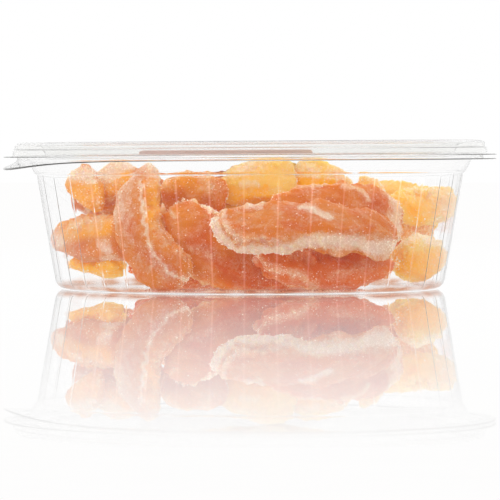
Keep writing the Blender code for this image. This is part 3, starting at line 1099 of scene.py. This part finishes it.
FRONT_LOOKS: dict[str, SliceLook] = {
    "hero": SliceLook((
        crust_stroke(1.7, 0.85, -10.9, 27.7, -11.5, 23.0, -10.0, 18.0, -5.6, 14.3),
        crust_stroke(2.5, 0.85, -4.4, 13.3, 3.7, 13.3, 12.5, 14.6, 22.5, 16.8, 29.6, 16.5,
                     38.1, 15.2, 46.5, 14.6),
        crust_stroke(0.9, 0.7, 15.6, 27.4, 20.3, 26.1, 25.6, 23.9),
        crust_stroke(1.1, 0.55, -8.1, 27.7, -2.2, 28.3, 3.7, 27.1),
        crust_stroke(1.6, 0.5, -8.7, 25.5, -6.9, 21.1, -3.7, 16.8),
        deep_stroke(2.2, 0.5, 10.9, 21.1, 21.8, 21.1, 37.4, 19.9),
    ), ragged=0.5, furrow=0.3),
    "upper_right": SliceLook((
        crust_stroke(2.3, 0.75, 44.7, 32.6, 46.3, 27.5, 45.7, 21.5, 46.9, 16.8),
        crust_stroke(0.8, 0.6, 29.9, 33.2, 34.0, 31.9, 37.2, 29.4),
        crust_stroke(0.8, 0.5, 14.5, 27.2, 19.5, 26.3, 23.9, 24.1),
        deep_stroke(3.0, 0.4, 25.2, 27.5, 29.9, 24.4, 42.5, 19.0),
    )),
    "broad": SliceLook((
        crust_stroke(0.9, 0.85, -26.1, 26.9, -23.6, 29.4, -18.9, 29.7, -15.4, 28.5, -12.6, 26.0),
        crust_stroke(1.1, 0.6, -25.2, 25.0, -24.2, 23.4),
        crust_stroke(1.4, 0.35, -18.9, 14.6, -14.2, 12.7, -12.0, 11.5),
        deep_stroke(7.5, 0.9, -12.0, 16.5, -5.7, 9.6, 3.8, 3.3, 15.7, 1.4),
    ), ragged=0.8, furrow=0.2),
    "crescent": SliceLook((
        crust_stroke(3.0, 0.7, -37.4, 40.1, -33.6, 41.7, -29.2, 40.1, -27.3, 36.7),
        crust_stroke(4.6, 0.42, -39.0, 36.0, -40.2, 30.7, -41.2, 24.4),
        crust_stroke(2.6, 0.22, -41.2, 24.4, -38.3, 17.2, -31.4, 10.3, -19.8, 4.0),
        deep_stroke(3.4, 0.75, -38.0, 22.0, -33.0, 13.0, -24.0, 6.5),
        crust_stroke(0.8, 0.6, -34.3, 35.4, -33.6, 26.0, -32.4, 18.4, -29.9, 11.5, -23.9, 6.5,
                     -18.2, 3.0),
        bright_stroke(3.4, 0.6, -30.8, 36.0, -30.2, 29.1, -30.5, 22.2),
    ), ragged=0.35, furrow=0.12, rim_crust=0.22),
    "low_right": SliceLook((
        crust_stroke(1.7, 0.5, 1.3, 11.5, 6.0, 8.4, 11.9, 6.5, 17.0, 5.3, 20.4, 2.8),
        deep_stroke(4.5, 0.6, 18.8, 10.9, 36.1, 9.7),
        crust_stroke(1.8, 0.25, 25.1, 5.3, 31.4, 7.2, 38.3, 7.8),
    ), ragged=0.9),
    "left_fold": SliceLook((
        crust_stroke(3.4, 0.8, -49.8, 35.0, -46.6, 38.1, -42.1, 40.4, -38.3, 41.3),
        crust_stroke(1.2, 0.6, -47.8, 34.0, -44.0, 35.3, -40.8, 37.8),
        bright_stroke(4.5, 1.0, -44.0, 33.4, -40.8, 35.3),
        bright_stroke(4.0, 0.7, -48.0, 37.0, -41.0, 40.0),
    ), ragged=0.3, furrow=0.1),
    "left_top": SliceLook((
        crust_stroke(2.7, 0.8, -58.7, 38.1, -54.9, 37.2, -50.4, 35.9),
        bright_stroke(4.5, 0.9, -57.0, 36.0, -52.0, 33.5, -48.5, 31.0),
        bright_stroke(4.0, 0.8, -55.5, 32.1, -51.7, 28.3, -48.5, 26.3),
    ), ragged=0.35, furrow=0.1),
    "left_point": SliceLook((
        crust_stroke(1.5, 0.45, -58.0, 19.7, -52.9, 22.2, -47.8, 23.8),
        crust_stroke(2.6, 0.5, -46.8, 14.9, -44.6, 11.1, -41.4, 9.2),
        crust_stroke(1.6, 0.5, -61.5, 16.8, -59.9, 14.9),
        bright_stroke(4.0, 0.8, -59.0, 18.5, -53.0, 20.5, -46.0, 21.0),
        deep_stroke(2.6, 0.4, -51.0, 18.7, -46.5, 14.3),
    ), ragged=0.4, furrow=0.12),
    "left_low": SliceLook((
        bright_stroke(4.0, 1.0, -53.8, 9.0, -48.1, 7.4, -44.2, 7.0),
    ), ragged=0.8, rim_crust=0.1),
    "back_orange": SliceLook((
        crust_stroke(0.6, 0.6, -28.7, 36.5, -20.7, 36.5, -13.4, 36.5),
        bright_stroke(4.0, 0.55, -28.0, 34.5, -14.0, 34.5),
        deep_stroke(3.5, 0.5, -27.1, 30.1, -20.7, 28.5),
    ), ragged=0.35, furrow=0.12),
    "top_left": SliceLook((
        # pale band along the top: a painted highlight, laid as sugar crust
        crust_stroke(2.4, 0.32, -8.9, 39.1, -3.2, 39.7, 2.6, 39.1),
        crust_stroke(1.3, 0.5, -2.6, 34.0, 2.2, 34.0),
        bright_stroke(1.3, 1.0, 5.1, 32.7, 5.7, 29.8),
        bright_stroke(3.0, 0.6, -11.2, 33.7, -4.8, 30.5, 3.8, 30.2),
    ), ragged=0.3, furrow=0.14),
    "top_right": SliceLook((
        crust_stroke(2.2, 0.5, 11.2, 40.0, 16.0, 39.1, 21.2, 37.8),
        bright_stroke(2.6, 0.9, 13.5, 35.2, 21.8, 34.6, 28.2, 33.3),
    ), ragged=0.3, furrow=0.14),
    "right_bump": SliceLook((
        crust_stroke(3.5, 0.6, 37.6, 37.8, 42.1, 36.6, 44.0, 33.4),
    ), ragged=0.3, furrow=0.14),
    "right_top": SliceLook((
        crust_stroke(1.2, 0.4, 47.5, 33.2, 52.3, 32.2, 57.5, 32.6),
        crust_stroke(3.2, 0.45, 60.1, 31.3, 63.3, 27.1, 61.4, 22.9),
        bright_stroke(2.8, 0.7, 48.4, 28.7, 52.3, 25.5, 54.9, 21.6),
    ), ragged=0.6, rim_crust=0.2),
    "right_low": SliceLook((
        crust_stroke(1.9, 0.85, 46.8, 15.0, 51.7, 16.9, 57.1, 16.0, 62.9, 14.7),
        deep_stroke(4.0, 0.9, 46.8, 9.0, 56.1, 7.5),
        bright_stroke(4.0, 0.9, 47.0, 8.0, 60.0, 9.0),
    ), ragged=0.6, furrow=0.14, rim_crust=0.2),
    "low_left": SliceLook(ragged=0.5, rim_crust=0.15),
    "right_mid": SliceLook((
        crust_stroke(7.0, 0.5, 44.0, 19.0, 58.0, 17.0),
        bright_stroke(9.0, 0.8, 44.0, 19.0, 58.0, 17.0),
    ), rim_crust=0.3),
}


class PackedRings:
    """Reads a packed slice back as cross-sections from end to end."""

    RINGS = 8
    SIDES = 8
    SAME = 2e-6                # points closer than this are one, in metres
    FAR = 99                   # more steps than any slice has

    def __init__(self, node: bpy.types.Object) -> None:
        """Merges a copy of the node's mesh and finds which points are joined.

        Args:
            node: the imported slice.
        """
        work = bmesh.new()
        work.from_mesh(node.data)
        bmesh.ops.remove_doubles(work, verts=work.verts, dist=self.SAME)
        copy = bpy.data.meshes.new(node.name + "_merged")
        work.to_mesh(copy)
        work.free()
        places = np.empty(len(copy.vertices) * 3)
        copy.vertices.foreach_get("co", places)
        self.points = places.reshape(-1, 3) / MM
        edges = np.empty(len(copy.edges) * 2, dtype=int)
        copy.edges.foreach_get("vertices", edges)
        edges = edges.reshape(-1, 2)
        self.joined = np.zeros((len(self.points), len(self.points)), dtype=bool)
        self.joined[edges[:, 0], edges[:, 1]] = True
        self.joined |= self.joined.T
        bpy.data.meshes.remove(copy)

    def steps(self) -> np.ndarray:
        """How many edges part each point from each other, spreading step by step.

        Returns:
            Points x points.
        """
        count = len(self.points)
        reached = np.eye(count, dtype=bool)
        apart = np.where(reached, 0, self.FAR)
        for step in range(1, self.RINGS + 2):
            grown = reached | (reached @ self.joined)
            apart[grown & ~reached] = step
            reached = grown
        return apart

    def rings(self) -> np.ndarray:
        """The end point, eight rings and the other end point of the slice.

        An end is a point from which each further step reaches one whole ring.
        Points of a ring are sorted by angle, and each ring is turned to lie
        closest to the one before it.

        Returns:
            An array of 10 x 8 x 3, with each end repeated eight times.
        """
        apart = self.steps()
        wanted = [1] + [self.SIDES] * self.RINGS + [1]
        counts = np.stack([(apart == k).sum(1) for k in range(self.RINGS + 2)], 1)
        ends = np.flatnonzero((counts == wanted).all(1))
        end = ends[np.argmin(self.points[ends, 0])]
        groups = [self.points[apart[end] == k] for k in range(self.RINGS + 2)]
        centres = np.array([group.mean(0) for group in groups])
        tangent = unit(np.gradient(centres, axis=0))
        found = [np.repeat(groups[0], self.SIDES, 0)]
        for k in range(1, self.RINGS + 1):
            found.append(self.sorted_ring(groups[k], tangent[k], found[-1] if k > 1 else None))
        found.append(np.repeat(groups[-1], self.SIDES, 0))
        return np.array(found)

    def sorted_ring(self, ring: np.ndarray, axis: np.ndarray,
                    before: np.ndarray | None) -> np.ndarray:
        """A ring in order round its axis, turned to match the ring before it.

        With none before it, it starts at the side that lies furthest out.

        Args:
            ring: the ring's points, in any order.
            axis: the slice's direction there.
            before: the ring before it, if there is one.

        Returns:
            The same points in order.
        """
        centred = ring - ring.mean(0)
        first = unit(centred[0] - axis * (centred[0] @ axis))
        second = np.cross(axis, first)
        order = np.argsort(np.arctan2(centred @ second, centred @ first))
        ring = ring[order]
        turns = [np.roll(ring, k, 0) for k in range(self.SIDES)]
        if before is None:
            half = self.SIDES // 2
            middles = [np.linalg.norm(t[0] + t[-1] - t[half - 1] - t[half]) for t in turns]
            return turns[int(np.argmax(middles))]
        return turns[int(np.argmin([((t - before) ** 2).sum() for t in turns]))]


@dataclass
class MelonSlice:
    """One slice with wrinkled faces, torn rims and sugar."""

    name: str
    rings: np.ndarray
    tone: Tone
    look: SliceLook
    seed: int
    rows: int
    columns: int
    gap: float = 0.12
    layers: dict[str, np.ndarray] = field(default_factory=dict)
    surface: GridSurface | None = None
    normals: np.ndarray | None = None

    SHEET = 0.5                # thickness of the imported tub
    ROOF = 42.6                # height that slices stay below
    WALL = (63.4, 3.3)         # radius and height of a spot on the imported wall
    WALL_LEAN = 0.1716
    FILLET = 4.5
    # Each random field: its seed's step, the size of its bumps, their stretch in x.
    FIELDS = {
        "cloud": (1, 7.0, 1.0), "speckle": (2, 2.2, 1.0), "bright": (3, 11.0, 1.0),
        "swell": (4, 9.0, 1.0), "fibre": (5, 2.3, 2.4), "fine": (6, 1.0, 1.0),
        "tear": (7, 4.6, 1.0), "small_tear": (8, 2.0, 1.0), "grains": (9, 0.7, 1.0),
        "crease": (10, 6.5, 2.2), "fray": (11, 0.9, 1.0),
    }

    def smooth_grid(self) -> tuple[np.ndarray, np.ndarray, np.ndarray]:
        """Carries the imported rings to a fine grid.

        Ghost rings past the two ends are the next rings seen from across the
        end, so the surface runs smoothly over its ends.

        Returns:
            The grid, its place from edge to edge (-1 to 1) and along (0 to 1).
        """
        count = len(self.rings)
        half = self.rings.shape[1] // 2
        first = 2.0 * self.rings[:1] - np.roll(self.rings[1:2], half, 1)
        last = 2.0 * self.rings[-1:] - np.roll(self.rings[-2:-1], half, 1)
        rings = np.concatenate((first, self.rings, last))
        places = 1.0 + np.linspace(0.0, count - 1.0, self.rows + 2)[1:-1]
        along = cardinal_weights(places, len(rings), False)
        turn = np.linspace(0.0, self.rings.shape[1], self.columns, endpoint=False)
        around = cardinal_weights(turn, self.rings.shape[1], True)
        grid = np.einsum("ri,ijx,cj->rcx", along, rings, around)
        edge = np.cos(2.0 * math.pi * (turn + 0.5) / self.rings.shape[1])
        edge = np.broadcast_to(edge, grid.shape[:2])
        share = np.broadcast_to(np.linspace(0.0, 1.0, self.rows)[:, None], grid.shape[:2])
        return grid, edge, share

    def ripple(self, kind: str, grid: np.ndarray) -> np.ndarray:
        """One of this slice's own random fields, by its name in FIELDS."""
        step, size, stretch = self.FIELDS[kind]
        return Ripple(self.seed + step).at(grid, size, (stretch, 1.0, 1.0))

    def masks(self, grid: np.ndarray, edge: np.ndarray, share: np.ndarray) -> None:
        """Works out the crust, depth and glow layers of the slice.

        Crust lies on rims and ends, thicker and thinner with a cloudy field,
        depth is least along the rims, and strokes are laid over all three.

        Args:
            grid: the smooth grid.
            edge: place from edge to edge, -1 to 1.
            share: place along the slice, 0 to 1.
        """
        cloud = self.ripple("cloud", grid)
        speckle = self.ripple("speckle", grid)
        rim = ease(0.62, 0.98, np.abs(edge)) * self.look.rim_crust
        ends = self.look.rim_crust * (1.0 - ease(0.02, 0.14, np.minimum(share, 1.0 - share)))
        crust = np.maximum(rim, ends) * (0.75 + 0.35 * cloud)
        layers = {
            Layer.CRUST: np.clip(crust + 0.06 * cloud, 0.0, 1.0),
            Layer.DEEP: 0.3 + 0.22 * cloud - 0.25 * np.abs(edge) ** 2,
            Layer.BRIGHT: 0.15 + 0.16 * self.ripple("bright", grid),
        }
        frayed = grid + 0.45 * np.stack((speckle, speckle, cloud), -1)
        for stroke in self.look.strokes:
            mask = stroke.mask(frayed)
            layers[stroke.layer] = np.maximum(layers[stroke.layer], mask)
        self.layers = {layer.value: np.clip(values, 0.0, 1.0) for layer, values in layers.items()}

    def relief(self, grid: np.ndarray, edge: np.ndarray) -> np.ndarray:
        """How far each point stands out: swells, fibres, torn rims and crust.

        Creases and fibres are furrows, a level less the size of a field, and
        fade towards the rim.  Tears are three fields that grow towards it.

        Args:
            grid: the smooth grid.
            edge: place from edge to edge, -1 to 1.

        Returns:
            Rows x columns, in millimetres.
        """
        rim = ease(0.5, 0.97, np.abs(edge))
        swell = 0.15 + 0.5 * self.ripple("swell", grid)
        crease = 0.55 - np.abs(self.ripple("crease", grid))
        fibre = 0.6 - np.abs(self.ripple("fibre", grid))
        tear = (self.ripple("tear", grid) + 0.7 * self.ripple("small_tear", grid)
                + 0.35 * self.ripple("fray", grid))
        grains = np.abs(self.ripple("grains", grid)) * 0.2 + 0.08
        return (swell + 0.32 * crease * (1.0 - rim) + self.look.furrow * fibre * (1.0 - 0.6 * rim)
                + self.look.ragged * rim * tear + 0.05 * self.ripple("fine", grid)
                + self.layers["crust"] * grains)

    def held_inside(self, grid: np.ndarray) -> np.ndarray:
        """Presses points back inside the tub's wall and base.

        The wall's radius grows in proportion to height, and a quarter circle
        eases it into the base.

        Args:
            grid: the finished grid.

        Returns:
            The grid with no point outside.
        """
        held = grid.copy()
        held[..., 2] = np.clip(held[..., 2], self.SHEET + self.gap, self.ROOF)
        radius = np.hypot(held[..., 0], held[..., 1])
        wall = self.WALL[0] + self.WALL_LEAN * (held[..., 2] - self.WALL[1])
        low = np.clip((self.SHEET + self.FILLET - held[..., 2]) / self.FILLET, 0.0, 1.0)
        fillet = self.FILLET * (1.0 - np.sqrt(1.0 - low ** 2))
        limit = wall - fillet - self.SHEET - self.gap
        held[..., :2] *= np.minimum(1.0, limit / np.maximum(radius, 1.0))[..., None]
        return held

    def build(self, material: bpy.types.Material) -> bpy.types.Object:
        """Makes the slice and puts it in place of its plain solid.

        Args:
            material: the flesh of its shade.

        Returns:
            The slice.
        """
        grid, edge, share = self.smooth_grid()
        self.masks(grid, edge, share)
        self.normals = grid_normals(grid)
        moved = grid + self.normals * self.relief(grid, edge)[..., None]
        moved = self.held_inside(moved)
        poles = np.stack((moved[0].mean(0), moved[-1].mean(0)))
        self.surface = GridSurface("melon_" + self.name, moved, poles)
        made = self.surface.build(self.layers)
        made.data.materials.append(material)
        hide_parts(self.name)
        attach(made, "root")
        return made


@dataclass
class MelonFilling:
    """All the slices in the tub."""

    frame: dict
    effects: SharedEffects
    slices: list[MelonSlice] = field(default_factory=list)

    FRONT_GRID = (180, 104)
    OTHER_GRID = (140, 80)

    def build(self) -> None:
        """Makes every slice, the ones at the front on a finer grid."""
        materials = {tone: tone.finish().material(self.effects) for tone in Tone}
        tones = {row["node"]: row["material_slot"] for row in self.frame["record"]["subparts"]}
        names = sorted(name for name in self.frame["nodes"] if name.startswith("slice_"))
        for place, name in enumerate(names):
            short = name[len("slice_"):]
            tone = Tone(tones[name])
            grid = self.FRONT_GRID if short in FRONT_LOOKS else self.OTHER_GRID
            piece = MelonSlice(name, PackedRings(self.frame["nodes"][name]).rings(), tone,
                               FRONT_LOOKS.get(short, SliceLook()), 100 * place, *grid)
            piece.build(materials[tone])
            self.slices.append(piece)
        log.info("slices: %d", len(self.slices))


# ---- Sugar ------------------------------------------------------------------------
@dataclass
class SugarGrains:
    """Loose sugar crystals of one size class, as one joined mesh."""

    name: str
    count: int
    small: float
    large: float
    seed: int

    BLOCK = np.array([(x, y, z) for x in (-0.5, 0.5) for y in (-0.5, 0.5) for z in (-0.5, 0.5)])
    SIDES = np.array([(0, 1, 3, 2), (4, 6, 7, 5), (0, 4, 5, 1),
                      (2, 3, 7, 6), (0, 2, 6, 4), (1, 5, 7, 3)])
    SEAT = 0.22                # how far a block's middle stands out, in sizes

    def material(self) -> bpy.types.Material:
        """Bright sugar with a faint warm cast that varies, and a painted glow in the same colour.

        Returns:
            The material.
        """
        made, bench, shader, _ = new_material(self.name + "_crystal")
        place = bench.add("ShaderNodeTexCoord").outputs["Object"]
        shade = bench.noise(place, 260.0, 2.0)
        cast = bench.mix(shade, paint(255, 250, 242), paint(250, 226, 196))
        bench.link(cast, shader.inputs["Base Color"])
        rough = bench.ramp(bench.noise(place, 2200.0, 2.0), 0.3, 0.7, 0.12, 0.4)
        bench.link(rough, shader.inputs["Roughness"])
        # painted glow: the crystals glow in their own colour
        bench.link(cast, shader.inputs["Emission Color"])
        shader.inputs["Emission Strength"].default_value = 0.2
        return made

    def build(self, spots: np.ndarray, ups: np.ndarray) -> bpy.types.Object:
        """Lays a six-sided block, turned at random, on each spot.

        A block's corners are pulled in by random shares, so no two are alike.
        It is turned by the matrix of a random unit quaternion.

        Args:
            spots: where crystals sit, in millimetres.
            ups: the surface's normals there.

        Returns:
            The joined piece.
        """
        dice = np.random.default_rng(self.seed)
        count = len(spots)
        size = self.small + (self.large - self.small) * dice.power(0.6, count)
        shape = self.BLOCK[None] * dice.uniform(0.65, 1.15, (count, 8, 1))
        shape = shape * dice.uniform(0.6, 1.1, (count, 1, 3)) * size[:, None, None]
        turns = unit(dice.normal(size=(count, 4)))
        w, x, y, z = turns.T
        spin = np.stack((1 - 2 * (y * y + z * z), 2 * (x * y - z * w), 2 * (x * z + y * w),
                         2 * (x * y + z * w), 1 - 2 * (x * x + z * z), 2 * (y * z - x * w),
                         2 * (x * z - y * w), 2 * (y * z + x * w), 1 - 2 * (x * x + y * y)), 1)
        shape = np.einsum("nij,nkj->nki", spin.reshape(-1, 3, 3), shape)
        places = shape + (spots + ups * size[:, None] * self.SEAT)[:, None, :]
        faces = (self.SIDES[None] + 8 * np.arange(count)[:, None, None]).reshape(-1, 4)
        mesh = bpy.data.meshes.new(self.name)
        mesh.from_pydata((places.reshape(-1, 3) * MM).tolist(), [], faces.tolist())
        mesh.update()
        made = placed(self.name, mesh)
        made.data.materials.append(self.material())
        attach(made, "root")
        return made


@dataclass
class SugarDusting:
    """Where the crystals lie: on crusty places, over all faces and on the base."""

    slices: list[MelonSlice]

    REAR_SHARE = 0.5           # how likely a spot on a coarser slice is
    BASE_REACH = 58.6
    BASE_HEIGHT = 0.55
    # Each drift of fallen sugar: its middle and its share of the crystals.
    DRIFTS = (((-10.5, -57.2), 0.3), ((-24.0, -54.5), 0.14), ((6.0, -58.0), 0.12),
              ((-36.0, -47.0), 0.1), ((24.0, -53.5), 0.1), ((38.0, -45.0), 0.09),
              ((-46.0, -36.0), 0.08), ((48.0, -33.0), 0.07))

    def gather(self, count: int, crust_share: float, seed: int) -> tuple[np.ndarray, np.ndarray]:
        """Draws spots on the slices, more where the crust is thick.

        A spot's weight is (least + crust^1.5) times a patchy field times how
        far it faces the front or up.

        Args:
            count: how many spots.
            crust_share: how much more likely a crusty place is.
            seed: the number that fixes the draw.

        Returns:
            The spots and the normals there.
        """
        dice = np.random.default_rng(seed)
        points = np.concatenate([piece.surface.points.reshape(-1, 3) for piece in self.slices])
        normals = np.concatenate([piece.normals.reshape(-1, 3) for piece in self.slices])
        crust = np.concatenate([piece.layers["crust"].ravel() for piece in self.slices])
        patch = ease(0.1, 0.9, Ripple(seed).at(points, 6.0) * 0.5 + 0.5)
        facing = ease(-0.5, 0.2, np.maximum(-normals[:, 1], normals[:, 2]))
        weight = (0.12 + crust_share * crust ** 1.5) * (0.25 + patch) * (0.15 + facing)
        weight = weight * np.concatenate([
            np.full(piece.rows * piece.columns,
                    1.0 if piece.rows == MelonFilling.FRONT_GRID[0] else self.REAR_SHARE)
            for piece in self.slices])
        picked = dice.choice(len(points), count, replace=False, p=weight / weight.sum())
        jitter = dice.normal(scale=0.08, size=(count, 3))
        return points[picked] + jitter, normals[picked]

    def on_base(self, count: int, seed: int) -> tuple[np.ndarray, np.ndarray]:
        """Spots on the tub's base near its front, gathered in small drifts.

        Args:
            count: how many spots.
            seed: the number that fixes the draw.

        Returns:
            The spots and the normals there.
        """
        dice = np.random.default_rng(seed)
        centres = np.array([centre for centre, _ in self.DRIFTS])
        shares = np.array([share for _, share in self.DRIFTS])
        which = dice.choice(len(centres), count, p=shares)
        spread = dice.normal(scale=(2.6, 0.9), size=(count, 2))
        flat = centres[which] + spread
        reach = np.hypot(flat[:, 0], flat[:, 1])
        flat *= np.minimum(1.0, self.BASE_REACH / reach)[:, None]
        spots = np.column_stack((flat, np.full(count, self.BASE_HEIGHT)))
        return spots, np.tile((0.0, 0.0, 1.0), (count, 1))

    def build(self) -> None:
        """Makes the fine grains, the coarse crystals and those on the base."""
        fine = SugarGrains("sugar_fine", 16000, 0.13, 0.30, seed=11)
        fine.build(*self.gather(fine.count, 1.0, seed=21))
        coarse = SugarGrains("sugar_coarse", 1100, 0.24, 0.55, seed=12)
        coarse.build(*self.gather(coarse.count, 1.6, seed=22))
        loose = SugarGrains("sugar_fallen", 260, 0.18, 0.6, seed=13)
        loose.build(*self.on_base(loose.count, seed=23))
        log.info("sugar crystals: %d", fine.count + coarse.count + loose.count)


# ---- Studio -----------------------------------------------------------------------
@dataclass
class Studio:
    """Pale glossy floor, white surround, soft lamps and a long lens."""

    floor_size: float = 9.0
    floor_drop: float = 0.09
    mirror_from: float = 61.5
    mirror_fade: tuple[float, float] = (60.0, 750.0)
    mirror_gain: float = 1.08
    camera_distance: float = 1.4
    camera_height: float = 0.045
    camera_dip: float = math.radians(-1.335)
    frame_width: float = 500 * 0.000325
    sensor: float = 36.0
    aim: Triple = (0.0, 0.0, 0.02)

    def floor(self) -> None:
        """A pale floor whose gloss fades away from the tub."""
        half = self.floor_size / 2.0
        z = -self.floor_drop * MM
        mesh = bpy.data.meshes.new("pale_floor")
        mesh.from_pydata([(-half, -half, z), (half, -half, z), (half, half, z), (-half, half, z)],
                         [], [(0, 1, 2, 3)])
        made = placed("pale_floor", mesh)
        material, bench, shader, output = new_material("pale_gloss_floor")
        bench.tree.nodes.remove(shader)
        place = bench.add("ShaderNodeTexCoord").outputs["Object"]
        spot = bench.add("ShaderNodeVectorMath", {"operation": "LENGTH"}, _0=place)
        reach = spot.outputs["Value"]
        near, far = self.mirror_fade
        fade = bench.add("ShaderNodeMapRange", None, _0=reach, _1=near * MM, _2=far * MM,
                         _3=1.0, _4=0.0)
        beyond = bench.math("GREATER_THAN", reach, self.mirror_from * MM)
        eased = bench.product(bench.math("POWER", fade.outputs[0], 0.6), beyond)
        fresnel = bench.add("ShaderNodeFresnel", None, IOR=1.5)
        sheen = bench.product(fresnel.outputs[0], self.mirror_gain)
        mirror = bench.product(bench.math("MINIMUM", sheen, 1.0), eased)
        speck = bench.noise(place, 60.0, 3.0)
        pale = bench.mix(speck, (0.984, 0.98, 0.977), (0.994, 0.991, 0.988))
        matt = bench.add("ShaderNodeEmission", None, Color=pale, Strength=1.0)
        gloss = bench.add("ShaderNodeBsdfGlossy", None, Color=(1.0, 1.0, 1.0), Roughness=0.0)
        both = bench.add("ShaderNodeMixShader", None, _0=mirror, _1=matt.outputs[0],
                         _2=gloss.outputs[0])
        bench.link(both.outputs[0], output.inputs["Surface"])
        mesh.materials.append(material)

    def surround(self) -> None:
        """A white world, which glossy surfaces see a little dimmer from the front."""
        world = bpy.data.worlds.new("studio_surround")
        bpy.context.scene.world = world
        world.use_nodes = True
        bench = NodeBench(world.node_tree)
        direction = bench.add("ShaderNodeTexCoord").outputs["Generated"]
        forward = bench.add("ShaderNodeSeparateXYZ", None, Vector=direction).outputs[1]
        gleam = bench.ramp(forward, -1.0, -0.3, 0.7, 1.0)
        rays = bench.add("ShaderNodeLightPath").outputs["Is Glossy Ray"]
        white = (1.0, 1.0, 1.0)
        seen = bench.mix(rays, white, bench.mix(gleam, (0.0, 0.0, 0.0), white))
        back = world.node_tree.nodes["Background"]
        bench.link(seen, back.inputs["Color"])
        back.inputs["Strength"].default_value = 1.0

    def lamp(self, name: str, place: Triple, size: float, watts: float) -> None:
        """A square soft lamp that faces the tub's middle.

        Its turn about X is the angle from straight down to the aim, and its
        turn about Z the aim's compass angle less a quarter turn.

        Args:
            name: the lamp's name.
            place: where it hangs, in metres.
            size: its side, in metres.
            watts: its power.
        """
        data = bpy.data.lights.new(name, "AREA")
        data.size = size
        data.energy = watts
        made = placed(name, data)
        made.location = place
        aim = np.array(self.aim) - np.array(place)
        flat = math.hypot(aim[0], aim[1])
        turn = math.atan2(aim[1], aim[0]) - math.pi / 2.0
        made.rotation_euler = (math.atan2(flat, -aim[2]), 0.0, turn)
        made.visible_camera = False
        made.visible_glossy = False

    def camera(self) -> None:
        """A long lens at table height, level with the tub's rim."""
        data = bpy.data.cameras.new("long_lens")
        data.sensor_width = self.sensor
        data.lens = self.sensor * self.camera_distance / self.frame_width
        data.clip_start = 0.05
        data.clip_end = 50.0
        made = placed("long_lens", data)
        made.location = (0.0, -self.camera_distance, self.camera_height)
        made.rotation_euler = (math.pi / 2.0 + self.camera_dip, 0.0, 0.0)
        bpy.context.scene.camera = made

    def build(self) -> None:
        """Sets up floor, light and camera."""
        self.floor()
        self.surround()
        self.lamp("top_softbox", (-0.25, -0.15, 1.5), 1.1, 1.5)
        self.lamp("front_softbox", (-0.9, -1.6, 0.9), 0.9, 4.0)
        self.camera()
        bpy.context.scene.view_settings.view_transform = "Standard"


def main() -> None:
    """Builds the tub, its contents and the studio, in order."""
    logging.basicConfig(level=logging.INFO, format="%(name)s: %(message)s")
    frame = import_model()
    effects = SharedEffects()
    rim = TubRim()
    clear = SheetFinish("clear_formed_sheet", (0.99, 0.99, 0.99), formed=True)
    milky = SheetFinish("milky_formed_sheet", (0.92, 0.92, 0.913), smeared=0.06,
                        clearness=0.98, index=1.16, glow=0.015)
    for piece in (Tub(rim, clear).build(effects), Lid(rim, milky).build(effects),
                  Label(rim).build()):
        log.info("%s: %d faces", piece.name, len(piece.data.polygons))
    filling = MelonFilling(frame, effects)
    filling.build()
    SugarDusting(filling.slices).build()
    Studio().build()


if __name__ == "__main__":
    main()
